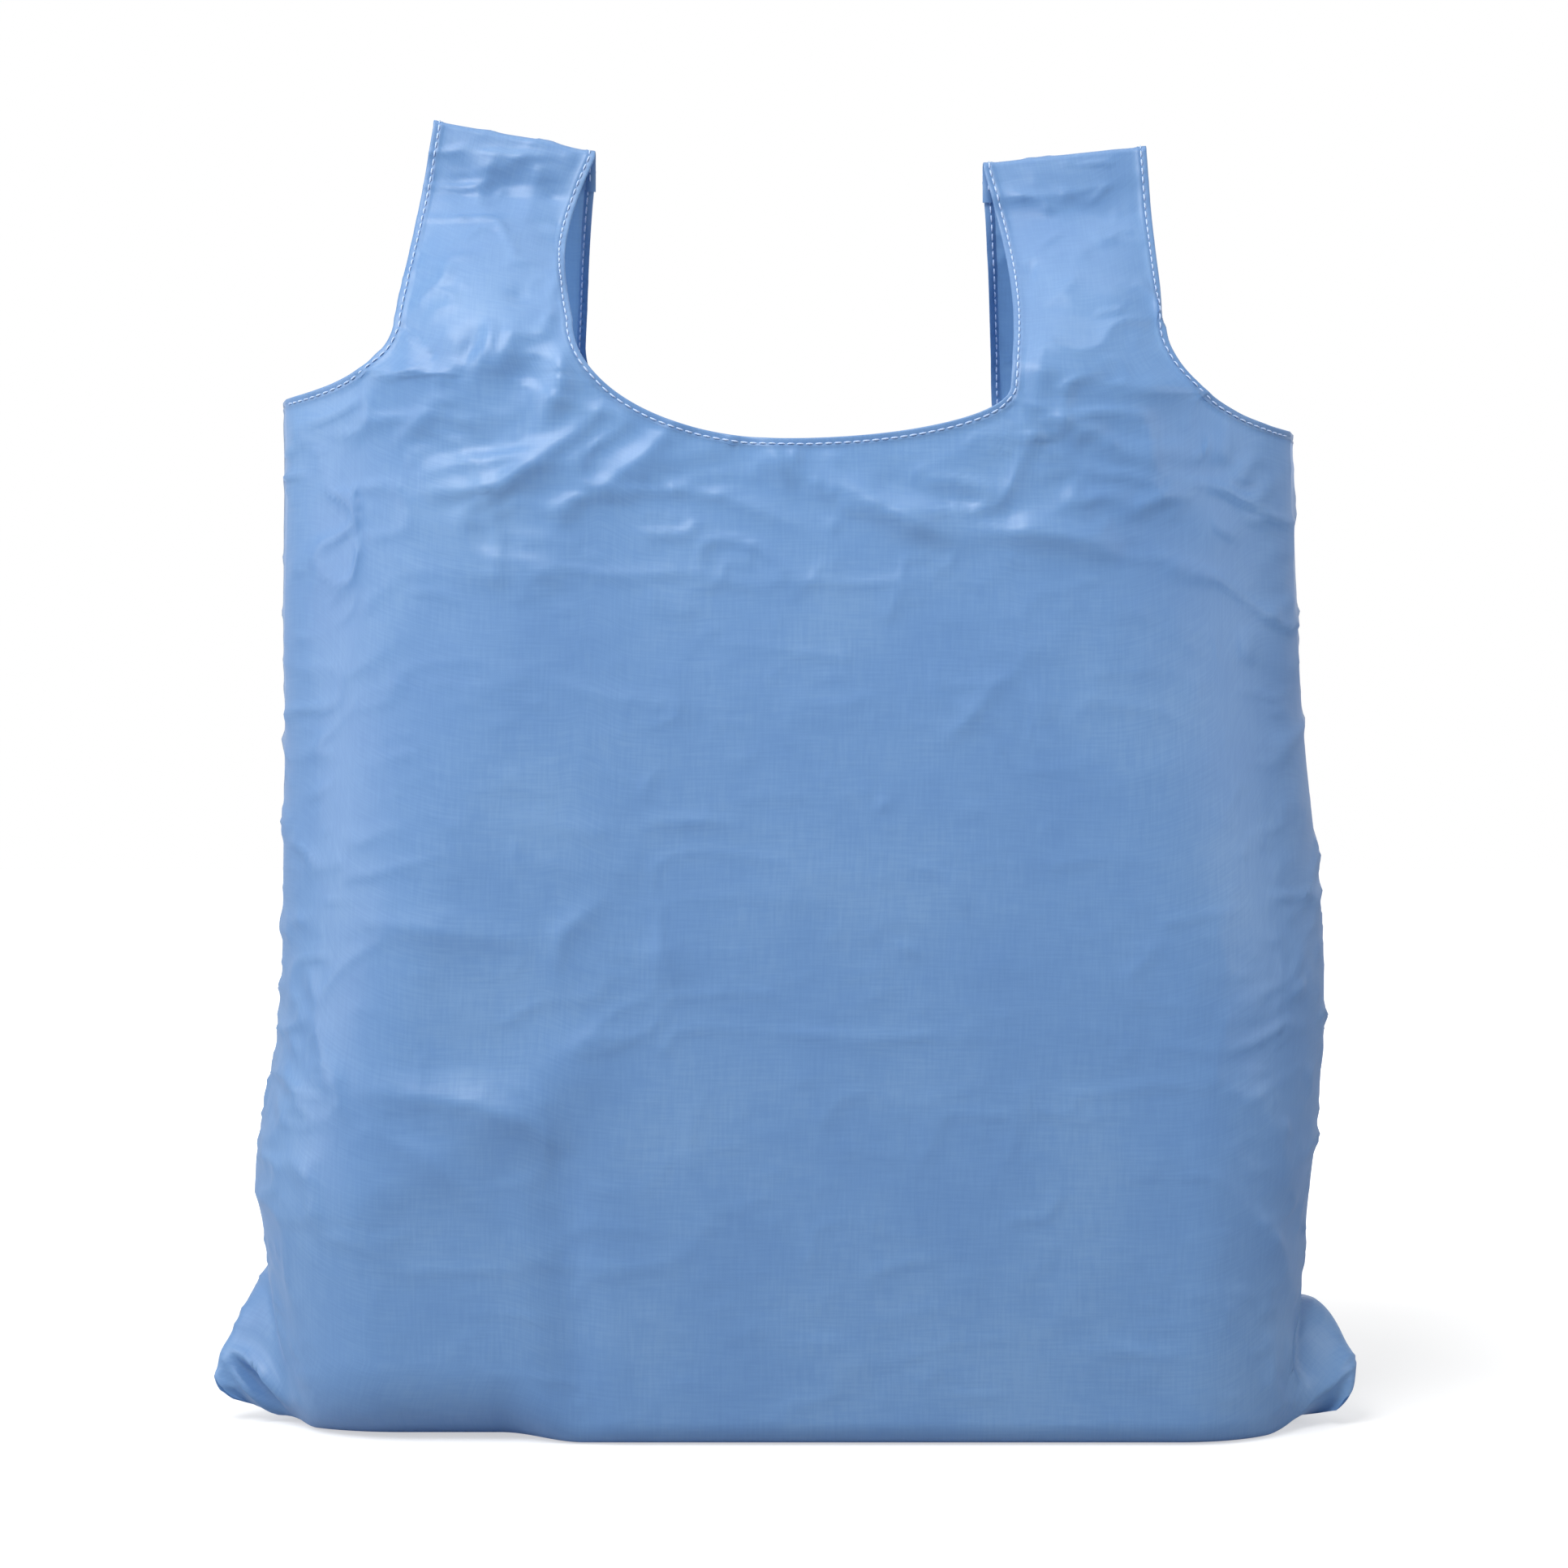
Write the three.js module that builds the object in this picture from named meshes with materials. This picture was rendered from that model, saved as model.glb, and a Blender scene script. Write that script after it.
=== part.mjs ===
// A foldable shopping bag of thin woven cloth, cut like a vest: two panels, each with two strap halves.
// It stands open and filled out. Front is -Y, up is +Z, and the base lies on z = 0 about the origin.
// The panels are sewn at the sides and the bottom with the allowances inside, their open edges are hemmed,
// and each front strap folds over the top and laps under the end of the back strap.
import * as THREE from "three";

// Cloth and sewing, in millimetres
const clothThickness = 1;
const hemWidth = 4;
const hemThickness = 2;
const hemStep = 1;
const stitchInset = 2;
const threadWidth = 0.9;
const threadThickness = 0.4;
const seamAllowance = 8;
const overlockCover = 4;
const sewnGap = 0.3;

// The bag as it stands, in millimetres
const bagDepth = 114;
const mouthDepth = 100;
const mouthHeight = 361;
const frontBulge = 4;
const cornerReachLow = 48;
const cornerReachHigh = 112;
const strapFoldRadius = 2.5;
const strapBow = 3;
const seamBelowFold = 6;
const strapLap = 8;
const stitchStop = 1.5;
const earStart = 0.8;
const earTaper = 1.4;
const earSeamOpening = 1;

// What differs between the left and the right side as the bag hangs and slumps, in millimetres.
// Heights "above mouth" are measured from the lowest point of the mouth. The strap begins at the shares
// armholeTurn and mouthTurn of the two quarter ellipses.
const leftSide = {
  sign: -1,
  shoulderHalfWidth: 186,
  shoulderAboveMouth: 18.5,
  bellyOut: 9,
  bellyHeight: 92,
  bellySpan: 42,
  earOut: 24,
  earTipHeight: 17,
  earTopHeight: 58,
  earForward: 10,
  earOutRound: 1.6,
  earRiseRound: 1.7,
  earLift: 1.6,
  earUnder: 14,
  earUnderTurn: 35,
  rootOuter: 141,
  rootOuterAboveMouth: 46,
  rootInner: 76,
  rootInnerAboveMouth: 44,
  topOuter: 130,
  topOuterAboveMouth: 124,
  topInner: 70,
  topInnerAboveMouth: 112,
  strapPinch: 7,
  armholeTurn: 0.5,
  mouthTurn: 0.64,
  bendRadius: 30,
};
const rightSide = {
  sign: 1,
  shoulderHalfWidth: 191,
  shoulderAboveMouth: 6.5,
  bellyOut: 11,
  bellyHeight: 165,
  bellySpan: 95,
  earOut: 19,
  earTipHeight: 19,
  earTopHeight: 46,
  earForward: 18,
  earOutRound: 0.9,
  earRiseRound: 1.3,
  earLift: 2,
  earUnder: 17,
  earUnderTurn: 50,
  rootOuter: 139.5,
  rootOuterAboveMouth: 47,
  rootInner: 82.5,
  rootInnerAboveMouth: 19,
  topOuter: 136,
  topOuterAboveMouth: 114.5,
  topInner: 75.5,
  topInnerAboveMouth: 108,
  strapPinch: 5,
  armholeTurn: 0.5,
  mouthTurn: 0.82,
  bendRadius: 9,
};
const notchPlace = -73;
const notchSpan = 26;

// Soft folds of a panel. Ends are [across, up]: across runs from -1 at the left seam to 1 at the right,
// up from 0 at the base to 1 at the mouth. Width and height are in millimetres.
// A height below 0 is a valley.
const frontFolds = [
  { from: [-0.42, 1.05], to: [-0.49, 0.98], width: 7, height: 3.5 },
  { from: [-0.55, 1.09], to: [-0.64, 1.01], width: 7, height: 3 },
  { from: [-0.38, 1.015], to: [-0.51, 0.98], width: 5, height: 2.5 },
  { from: [-0.4, 0.975], to: [-0.68, 0.95], width: 6, height: 3 },
  { from: [-0.14, 0.99], to: [-0.27, 0.97], width: 5, height: 2.5 },
  { from: [-0.02, 0.985], to: [0.25, 0.92], width: 7, height: 3.5 },
  { from: [0.25, 0.92], to: [0.6, 0.9], width: 7, height: 3.5 },
  { from: [0.2, 0.95], to: [0.42, 0.925], width: 5, height: -2.5 },
  { from: [0.66, 1.0], to: [0.82, 0.92], width: 9, height: 3 },
  { from: [0.76, 1.03], to: [0.9, 0.96], width: 7, height: 2.5 },
  { from: [-0.39, 0], to: [-0.42, 0.28], width: 9, height: -4 },
  { from: [-0.81, 0.24], to: [-0.42, 0.37], width: 14, height: 3.5 },
  { from: [-0.95, 0.4], to: [-0.89, 0.33], width: 6, height: 2.5 },
  { from: [-0.97, 0.36], to: [-0.86, 0.27], width: 6, height: 2.5 },
];
const backFolds = [
  { from: [0.44, 1.05], to: [0.52, 0.96], width: 8, height: 3 },
  { from: [-0.44, 1.05], to: [-0.54, 0.96], width: 8, height: 3 },
  { from: [-0.3, 0.98], to: [0.05, 0.92], width: 9, height: 3 },
  { from: [0.05, 0.92], to: [0.4, 0.97], width: 9, height: 3 },
  { from: [0.7, 0.3], to: [0.3, 0.42], width: 16, height: 3.5 },
  { from: [-0.7, 0.22], to: [-0.25, 0.34], width: 16, height: 3 },
];

// How finely the panels are divided
const armholeColumns = 3;
const strapMiddleColumns = 3;
const mouthColumns = 8;
const baseRows = 3;
const bendRows = 4;
const wallRows = 13;
const rootRows = 4;
const strapRows = 7;
const foldRows = 4;

// Cloth colours
const cloth = { color: 0x82a3d0, roughness: 0.5, metalness: 0 };
const thread = { color: 0xb5cbea, roughness: 0.7, metalness: 0 };

const quarter = Math.PI / 2;
const halfCloth = clothThickness / 2;
const seamPlane = sewnGap / 2 + halfCloth;
const backStrapOffset = strapFoldRadius + halfCloth + sewnGap + hemThickness - halfCloth;
const mix = (a, b, share) => a + (b - a) * share;
const clamp = (value) => Math.min(1, Math.max(0, value));
const smooth = (value) => clamp(value) ** 2 * (3 - 2 * clamp(value));
const sideOf = (x) => (x < 0 ? leftSide : rightSide);

// Half width of the bag at a height: the shoulder's, with a soft swelling lower down.
function halfWidth(side, z) {
  const away = (z - side.bellyHeight) / side.bellySpan;
  return side.shoulderHalfWidth + side.bellyOut * Math.exp(-away * away);
}

const halfDepth = (z) => mix(bagDepth, mouthDepth, smooth(z / mouthHeight)) / 2;
const cornerReach = (z) => mix(cornerReachLow, cornerReachHigh, smooth(z / mouthHeight) ** 2);

// Plan of the bag at a height, for one quarter: a straight front and an elliptical corner
// that ends at the side seam.
function planOf(side, z) {
  const reach = cornerReach(z);
  const depth = halfDepth(z);
  const straight = halfWidth(side, z) - reach;
  const arc = quarter * Math.hypot(reach, depth) * Math.SQRT1_2;
  return { reach, depth, straight, arc, length: straight + arc };
}

function planPoint(side, z, across) {
  const plan = planOf(side, z);
  const walked = Math.abs(across) * plan.length;
  const angle = Math.max(0, (walked - plan.straight) / plan.arc) * quarter;
  const x = walked < plan.straight ? walked : plan.straight + plan.reach * Math.sin(angle);
  return { x: side.sign * x, depth: plan.depth * Math.cos(angle) };
}

function acrossAt(side, z, x) {
  const plan = planOf(side, z);
  const beyond = Math.abs(x) - plan.straight;
  const walked = beyond < 0 ? Math.abs(x)
    : plan.straight + (Math.asin(clamp(beyond / plan.reach)) / quarter) * plan.arc;
  return (side.sign * walked) / plan.length;
}

// Armhole: a quarter ellipse from the shoulder corner to the foot of the strap's outer edge.
function armholePoint(side, angle) {
  const rise = side.rootOuterAboveMouth - side.shoulderAboveMouth;
  const corner = halfWidth(side, mouthHeight + side.shoulderAboveMouth);
  return {
    x: side.sign * mix(corner, side.rootOuter, Math.sin(angle)),
    z: mouthHeight + side.shoulderAboveMouth + rise * (1 - Math.cos(angle)),
  };
}

// Mouth: a quarter ellipse on each side of the middle, up to the foot of the strap's inner edge.
const mouthPoint = (side, angle) => ({
  x: side.sign * side.rootInner * Math.sin(angle),
  z: mouthHeight + side.rootInnerAboveMouth * (1 - Math.cos(angle)),
});

// Places across a strap as shares of its width: the stitch line and the hem on both edges, and the middle.
function strapShares(width) {
  const edge = [0, stitchInset, hemWidth, hemWidth + hemStep];
  const inner = width - 2 * (hemWidth + hemStep);
  const middle = [];
  for (let i = 1; i < strapMiddleColumns; i++) {
    middle.push(hemWidth + hemStep + (inner * i) / strapMiddleColumns);
  }
  return [...edge, ...middle, ...edge.map((d) => width - d).reverse()].map((d) => d / width);
}

const strapEdges = { outer: armholePoint, inner: mouthPoint };
const strapColumns = strapShares(1).length - 1;

function strapRootPoints(side) {
  const outer = armholePoint(side, side.armholeTurn * quarter);
  const inner = mouthPoint(side, side.mouthTurn * quarter);
  const width = Math.hypot(outer.x - inner.x, outer.z - inner.z);
  return strapShares(width).map((share) => ({
    x: mix(outer.x, inner.x, share),
    z: mix(outer.z, inner.z, share),
  }));
}

// The upper border of the panel's body from the left shoulder to the right one, a point for each column.
function upperBorder() {
  const half = (side) => {
    const points = [];
    for (let i = 0; i < armholeColumns; i++) {
      points.push(armholePoint(side, side.armholeTurn * quarter * (i / armholeColumns)));
    }
    return [...points, ...strapRootPoints(side)];
  };
  const mouth = [];
  const [start, end] = [leftSide, rightSide].map((side) => mouthPoint(side, side.mouthTurn * quarter).x);
  for (let i = 1; i < mouthColumns; i++) {
    const x = mix(start, end, i / mouthColumns);
    const side = sideOf(x);
    mouth.push(mouthPoint(side, Math.asin(Math.abs(x) / side.rootInner)));
  }
  return [...half(leftSide), ...mouth, ...half(rightSide).reverse()];
}

const border = upperBorder();
const lastColumn = border.length - 1;
const bodyRows = baseRows + bendRows + wallRows + 3;

const bendRadiusAt = (x) =>
  mix(leftSide.bendRadius, rightSide.bendRadius, smooth((x - notchPlace) / notchSpan + 0.5));

// Height and share of the depth along a column: under the base, round the lower bend and up the wall.
function columnPath(row, radius, depth, top) {
  if (row <= baseRows) return { z: halfCloth, share: ((row / baseRows) * (depth - radius)) / depth };
  if (row <= baseRows + bendRows) {
    const angle = ((row - baseRows) / bendRows) * quarter;
    return {
      z: halfCloth + radius * (1 - Math.cos(angle)),
      share: (depth - radius * (1 - Math.sin(angle))) / depth,
    };
  }
  return { z: wallHeight(row, halfCloth + radius, top), share: 1 };
}

// Wall rows are even up to the hem, and the last three are the hem's foot, the stitch line and the edge.
function wallHeight(row, foot, top) {
  const up = row - baseRows - bendRows;
  const hemDrops = [hemWidth + hemStep, hemWidth, stitchInset, 0];
  if (up >= wallRows) return top - hemDrops[up - wallRows];
  return mix(foot, top - hemDrops[0], up / wallRows);
}

function foldHeight(folds, x, z) {
  let height = 0;
  for (const fold of folds) {
    const ends = [fold.from, fold.to].map(([across, up]) => [
      across * sideOf(across).shoulderHalfWidth,
      up * mouthHeight,
    ]);
    const run = [ends[1][0] - ends[0][0], ends[1][1] - ends[0][1]];
    const length = Math.hypot(...run);
    const along = ((x - ends[0][0]) * run[0] + (z - ends[0][1]) * run[1]) / length / length;
    const away = Math.hypot(x - ends[0][0] - run[0] * clamp(along), z - ends[0][1] - run[1] * clamp(along));
    height += fold.height * Math.exp(-((away / fold.width) ** 2));
  }
  return height;
}

// A point of the panel's body between the seams, on its mid surface. Facing is -1 for the front panel
// and 1 for the back.
// The bottom corners stand out as ears, and swing forwards with their seam.
function bodyPoint(facing, folds, column, row) {
  const even = (2 * column) / lastColumn - 1;
  const target = border[column];
  const side = sideOf(even);
  const borderSide = sideOf(target.x);
  const up = columnPath(row, bendRadiusAt(even * side.shoulderHalfWidth), halfDepth(0), target.z);
  const topAcross = acrossAt(borderSide, target.z, target.x);
  const across = mix(even, topAcross, smooth(up.z / target.z));
  const ear = smooth((Math.abs(across) - earStart) / (1 - earStart));
  const seam = seamPath(side, row);
  const z = mix(up.z, seam.z, ear ** mix(1, side.earLift, seam.low));
  const plan = planPoint(sideOf(across), z, across);
  const flat = plan.depth * up.share;
  const x = plan.x + side.sign * seam.out * ear ** earTaper;
  const middle = 1 - Math.abs(across) ** 2;
  const onWall = smooth((row - baseRows) / bendRows);
  const bulge = frontBulge * Math.sin(Math.PI * clamp(z / mouthHeight));
  const swell = (bulge + foldHeight(folds, x, z)) * middle * onWall;
  const apart = seamPlane + earSeamOpening * ear * Math.sqrt(seam.low);
  const forward = side.earForward * ear ** 2 * seam.low;
  return new THREE.Vector3(x, facing * Math.max(apart, flat + swell) - forward, z);
}

// The side seam: round the ear from under its tip to its top, then straight up to the shoulder.
// The ear's outline is a superellipse, and low falls from 1 at the bottom to 0 at its top.
function seamPath(side, row) {
  const share = clamp(row / (baseRows + bendRows));
  const low = 1 - smooth(share);
  if (share === 1) {
    return { z: wallHeight(row, side.earTopHeight, mouthHeight + side.shoulderAboveMouth), out: 0, low };
  }
  const angle = mix(-THREE.MathUtils.degToRad(side.earUnderTurn), quarter, share);
  const rise = Math.sin(angle);
  const z = rise < 0 ? side.earTipHeight + side.earUnder * rise
    : mix(side.earTipHeight, side.earTopHeight, rise ** side.earRiseRound);
  return { z, out: side.earOut * Math.cos(angle) ** side.earOutRound, low };
}

// Outer or inner edge of a strap, row by row from the panel's border to the end below the fold.
// The front strap is pinched narrower, so that the back one shows beyond its inner edge.
function strapEdge(facing, side, edge, row, drop) {
  const turn = edge === "outer" ? side.armholeTurn : side.mouthTurn;
  if (row <= rootRows) return strapEdges[edge](side, quarter * mix(turn, 1, row / rootRows));
  const share = (row - rootRows) / strapRows;
  const foot = strapEdges[edge](side, quarter);
  const topX = edge === "outer" ? side.topOuter : side.topInner;
  const pinched = facing < 0 && edge === "inner";
  const pinch = pinched ? side.strapPinch * Math.sin(Math.PI * share) : 0;
  return {
    x: mix(foot.x, side.sign * topX, share) + side.sign * pinch,
    z: mix(foot.z, strapTop(side, edge) - drop, share),
  };
}

const strapTop = (side, edge) =>
  mouthHeight + (edge === "outer" ? side.topOuterAboveMouth : side.topInnerAboveMouth);

// A point of a strap half. The straps rise upright from the panel, lean in and are upright again at the fold.
function strapPoint(facing, side, column, row) {
  const drop = facing < 0 ? strapFoldRadius : seamBelowFold;
  const outer = strapEdge(facing, side, "outer", row, drop);
  const inner = strapEdge(facing, side, "inner", row, drop);
  const width = Math.hypot(outer.x - inner.x, outer.z - inner.z);
  const share = strapShares(width)[column];
  const x = mix(outer.x, inner.x, share);
  const z = mix(outer.z, inner.z, share);
  const root = strapRootPoints(side)[column];
  const rootDepth = planPoint(side, root.z, acrossAt(side, root.z, root.x)).depth;
  const fold = mix(strapTop(side, "outer"), strapTop(side, "inner"), share);
  const upright = fold - seamBelowFold - strapLap - stitchStop;
  const lean = clamp((upright - z) / (upright - root.z));
  const end = facing < 0 ? strapFoldRadius : backStrapOffset;
  const bow = strapBow * 4 * share * (1 - share) * Math.sin(Math.PI * lean);
  return new THREE.Vector3(x, facing * (mix(end, rootDepth, smooth(lean)) + bow), z);
}

// The front strap beyond its fold: over the top in a half circle, then down behind to the end of the lap.
function foldPoint(side, column, row) {
  const before = strapPoint(-1, side, column, rootRows + strapRows);
  if (row <= foldRows) {
    const angle = (row / foldRows) * Math.PI;
    return new THREE.Vector3(
      before.x,
      -strapFoldRadius * Math.cos(angle),
      before.z + strapFoldRadius * Math.sin(angle),
    );
  }
  const downTo = [seamBelowFold - stitchStop, seamBelowFold + strapLap][row - foldRows - 1];
  return new THREE.Vector3(before.x, strapFoldRadius, before.z + strapFoldRadius - downTo);
}

// A closed solid from a sheet of quads: the sheet is set off to both sides along its normals,
// and its rim is walled.
function thickSheet(points, quads, outward, inward) {
  const normals = points.map(() => new THREE.Vector3());
  for (const [a, b, c, d] of quads) {
    const first = new THREE.Vector3().subVectors(points[c], points[a]);
    const second = new THREE.Vector3().subVectors(points[d], points[b]);
    const normal = first.cross(second).normalize();
    for (const corner of [a, b, c, d]) normals[corner].add(normal);
  }
  normals.forEach((normal) => normal.normalize());
  const count = points.length;
  const positions = [];
  points.forEach((point, i) => positions.push(...point.clone().addScaledVector(normals[i], outward[i])));
  points.forEach((point, i) => positions.push(...point.clone().addScaledVector(normals[i], -inward[i])));
  const index = [];
  const directed = new Set(quads.flatMap((quad) => quad.map((a, i) => `${a} ${quad[(i + 1) % 4]}`)));
  for (const quad of quads) {
    const [a, b, c, d] = quad;
    index.push(a, b, c, a, c, d);
    index.push(a + count, c + count, b + count, a + count, d + count, c + count);
    quad.forEach((from, i) => {
      const to = quad[(i + 1) % 4];
      if (!directed.has(`${to} ${from}`)) index.push(to, from, from + count, to, from + count, to + count);
    });
  }
  return { geometry: indexedGeometry(positions, index), normals };
}

function indexedGeometry(positions, index) {
  const geometry = new THREE.BufferGeometry();
  geometry.setAttribute("position", new THREE.Float32BufferAttribute(positions, 3));
  geometry.setIndex(index);
  geometry.computeVertexNormals();
  return geometry;
}

// Everything about one panel: its mid surface as a sheet of quads with the flanges of its seams.
function panelSheet(facing, folds) {
  const points = [];
  const quads = [];
  const add = (point) => points.push(point) - 1;
  const grid = (rows) => {
    for (let i = 0; i + 1 < rows.length; i++) {
      for (let j = 0; j + 1 < rows[i].length; j++) {
        quads.push([rows[i][j], rows[i][j + 1], rows[i + 1][j + 1], rows[i + 1][j]]);
      }
    }
  };
  const body = [];
  for (let row = 0; row <= bodyRows; row++) {
    body.push(border.map((_, column) => add(bodyPoint(facing, folds, column, row))));
  }
  grid(body);
  const straps = [leftSide, rightSide].map((side) => {
    const columnAt = (i) => (side.sign < 0 ? armholeColumns + i : lastColumn - armholeColumns - i);
    const rows = [];
    const row0 = [];
    for (let i = 0; i <= strapColumns; i++) row0.push(body[bodyRows][columnAt(i)]);
    rows.push(row0);
    for (let row = 1; row <= rootRows + strapRows; row++) {
      rows.push(row0.map((_, i) => add(strapPoint(facing, side, i, row))));
    }
    for (let row = 1; facing < 0 && row <= foldRows + 2; row++) {
      rows.push(row0.map((_, i) => add(foldPoint(side, i, row))));
    }
    grid(side.sign < 0 ? rows : rows.map((each) => [...each].reverse()));
    return rows;
  });
  const rim = rimOf(points, body, straps);
  const flanges = addFlanges(add, grid, points, body, facing);
  if (facing > 0) quads.forEach((quad) => quad.reverse());
  return { points, quads, body, straps, rim, flanges };
}

// The hemmed edges as chains of vertices: the mouth with both inner strap edges,
// and each armhole with its strap's outer edge.
function rimOf(points, body, straps) {
  const top = body[bodyRows];
  const [left, right] = straps;
  const inner = (rows) => rows.slice(1).map((row) => row[strapColumns]);
  const outer = (rows) => rows.map((row) => row[0]);
  const mouthStart = armholeColumns + strapColumns;
  return [
    [...inner(left).reverse(), ...top.slice(mouthStart, lastColumn - mouthStart + 1), ...inner(right)],
    [...top.slice(0, armholeColumns), ...outer(left)],
    [...top.slice(lastColumn - armholeColumns + 1).reverse(), ...outer(right)],
  ].map((chain) => chain.map((i) => points[i]));
}

// The seam allowances: turned in at the sides and up at the bottom, short of the ears.
function addFlanges(add, grid, points, body, facing) {
  const moved = (i, x, z) => {
    const point = points[i].clone();
    return add(new THREE.Vector3(point.x + x, facing * seamPlane, point.z + z));
  };
  const firstRow = baseRows + bendRows + 1;
  const sideRows = body.slice(firstRow);
  const left = sideRows.map((row) => [moved(row[0], seamAllowance, 0), row[0]]);
  const right = sideRows.map((row) => [row[lastColumn], moved(row[lastColumn], -seamAllowance, 0)]);
  const inner = body[0].filter((_, i) => Math.abs((2 * i) / lastColumn - 1) < earStart);
  const bottom = [inner.map((i) => moved(i, 0, seamAllowance)), inner];
  [left, right, bottom].forEach(grid);
  return {
    left: left.map((row) => points[row[0]]),
    right: right.map((row) => points[row[1]]),
    bottom: bottom[0].map((i) => points[i]),
    all: new Set([...left.map((row) => row[0]), ...right.map((row) => row[1]), ...bottom[0]]),
  };
}

function distanceToRim(point, rim) {
  let least = Infinity;
  const onSegment = new THREE.Vector3();
  for (const chain of rim) {
    for (let i = 0; i + 1 < chain.length; i++) {
      new THREE.Line3(chain[i], chain[i + 1]).closestPointToPoint(point, true, onSegment);
      least = Math.min(least, onSegment.distanceTo(point));
    }
  }
  return least;
}

function meshOf(name, geometry, look) {
  const mesh = new THREE.Mesh(geometry, new THREE.MeshStandardMaterial(look));
  mesh.name = name;
  return mesh;
}

// The panel's solid. Along the open edges the hem makes it thicker on the inside.
function makePanel(name, sheet) {
  const outward = sheet.points.map(() => halfCloth);
  const inward = sheet.points.map((point, i) => {
    const hemmed = !sheet.flanges.all.has(i) && distanceToRim(point, sheet.rim) < hemWidth + hemStep / 2;
    return hemmed ? hemThickness - halfCloth : halfCloth;
  });
  const solid = thickSheet(sheet.points, sheet.quads, outward, inward);
  sheet.normals = solid.normals;
  return meshOf(name, solid.geometry, cloth);
}

// A closed solid swept along a path: each ring holds the corners of the section there, in the same order.
function sweptSolid(rings) {
  const corners = rings[0].length;
  const positions = rings.flatMap((ring) => ring.flatMap((corner) => [...corner]));
  const index = [];
  for (let i = 0; i + 1 < rings.length; i++) {
    for (let j = 0; j < corners; j++) {
      const a = i * corners + j;
      const b = i * corners + ((j + 1) % corners);
      index.push(a, b, b + corners, a, b + corners, a + corners);
    }
  }
  const outline = rings[0].map((corner) => new THREE.Vector2(...corner.flat));
  for (const [a, b, c] of THREE.ShapeUtils.triangulateShape(outline, [])) {
    const last = (rings.length - 1) * corners;
    index.push(c, b, a, a + last, b + last, c + last);
  }
  return indexedGeometry(positions, index);
}

// A ring of a section whose corners are given along two directions from a centre.
const ringAt = (centre, first, second, section) =>
  section.map(([u, v]) => {
    const corner = centre.clone().addScaledVector(first, u).addScaledVector(second, v);
    corner.flat = [u, v];
    return corner;
  });

// A row of stitching that lies on the outside of a panel and follows a chain of its vertices.
function makeStitching(name, sheet, chain) {
  const w = threadWidth / 2;
  const low = halfCloth + sewnGap;
  const high = low + threadThickness;
  const section = [[-w, low], [w, low], [w, high], [-w, high]];
  const rings = chain.map((i, n) => {
    const before = sheet.points[chain[Math.max(0, n - 1)]];
    const after = sheet.points[chain[Math.min(chain.length - 1, n + 1)]];
    const along = new THREE.Vector3().subVectors(after, before).normalize();
    const across = new THREE.Vector3().crossVectors(sheet.normals[i], along).normalize();
    return ringAt(sheet.points[i], across, sheet.normals[i], section);
  });
  return meshOf(name, sweptSolid(rings), thread);
}

// Overlock thread round the joined edges of two allowances: a U that caps them.
// Inward points from the seam line to those edges.
function makeOverlock(name, edge, inward) {
  const inside = seamPlane + halfCloth + sewnGap;
  const outside = inside + threadThickness;
  const cap = sewnGap + threadThickness;
  const section = [
    [-overlockCover, -outside], [cap, -outside], [cap, outside], [-overlockCover, outside],
    [-overlockCover, inside], [sewnGap, inside], [sewnGap, -inside], [-overlockCover, -inside],
  ];
  const run = new THREE.Vector3().subVectors(edge.at(-1), edge[0]);
  const depthAxis = new THREE.Vector3(0, Math.sign(run.cross(inward).y), 0);
  const rings = edge.map(({ x, z }) => ringAt(new THREE.Vector3(x, 0, z), inward, depthAxis, section));
  return meshOf(name, sweptSolid(rings), thread);
}

// Chains of vertices one stitch inset in from the hemmed edges of a panel.
function stitchLines(sheet, facing) {
  const line = sheet.body[bodyRows - 1];
  const [left, right] = sheet.straps;
  const lastRow = facing < 0 ? rootRows + strapRows + foldRows + 1 : rootRows + strapRows - 1;
  const along = (rows, column) => rows.slice(0, lastRow + 1).map((row) => row[column]);
  const mouthStart = armholeColumns + strapColumns;
  return {
    mouth: [
      ...along(left, strapColumns - 1).reverse(),
      ...line.slice(mouthStart, lastColumn - mouthStart + 1),
      ...along(right, strapColumns - 1),
    ],
    left_armhole: [...line.slice(1, armholeColumns + 1), ...along(left, 1)],
    right_armhole: [...line.slice(lastColumn - armholeColumns, lastColumn).reverse(), ...along(right, 1)],
  };
}

const group = new THREE.Group();
const front = panelSheet(-1, frontFolds);
const back = panelSheet(1, backFolds);
group.add(makePanel("front_panel", front), makePanel("back_panel", back));
for (const [place, sheet, facing] of [["front", front, -1], ["back", back, 1]]) {
  for (const [edge, chain] of Object.entries(stitchLines(sheet, facing))) {
    group.add(makeStitching(`${place}_${edge}_stitching`, sheet, chain));
  }
}
const leftward = new THREE.Vector3(-1, 0, 0);
const rightward = new THREE.Vector3(1, 0, 0);
const upward = new THREE.Vector3(0, 0, 1);
group.add(
  makeOverlock("left_seam_overlock", front.flanges.left.slice(0, -3), rightward),
  makeOverlock("right_seam_overlock", front.flanges.right.slice(0, -3), leftward),
  makeOverlock("bottom_seam_overlock", front.flanges.bottom.slice(1, -1), upward),
);
for (const [place, rows] of [["left", back.straps[0]], ["right", back.straps[1]]]) {
  const chain = rows[rootRows + strapRows];
  group.add(makeStitching(`${place}_handle_seam_stitching`, back, chain));
}

// The part's origin is the middle of its footprint.
const footprint = new THREE.Box3().setFromObject(group).getCenter(new THREE.Vector3());
group.position.set(-footprint.x, -footprint.y, 0);

export default group;
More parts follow.
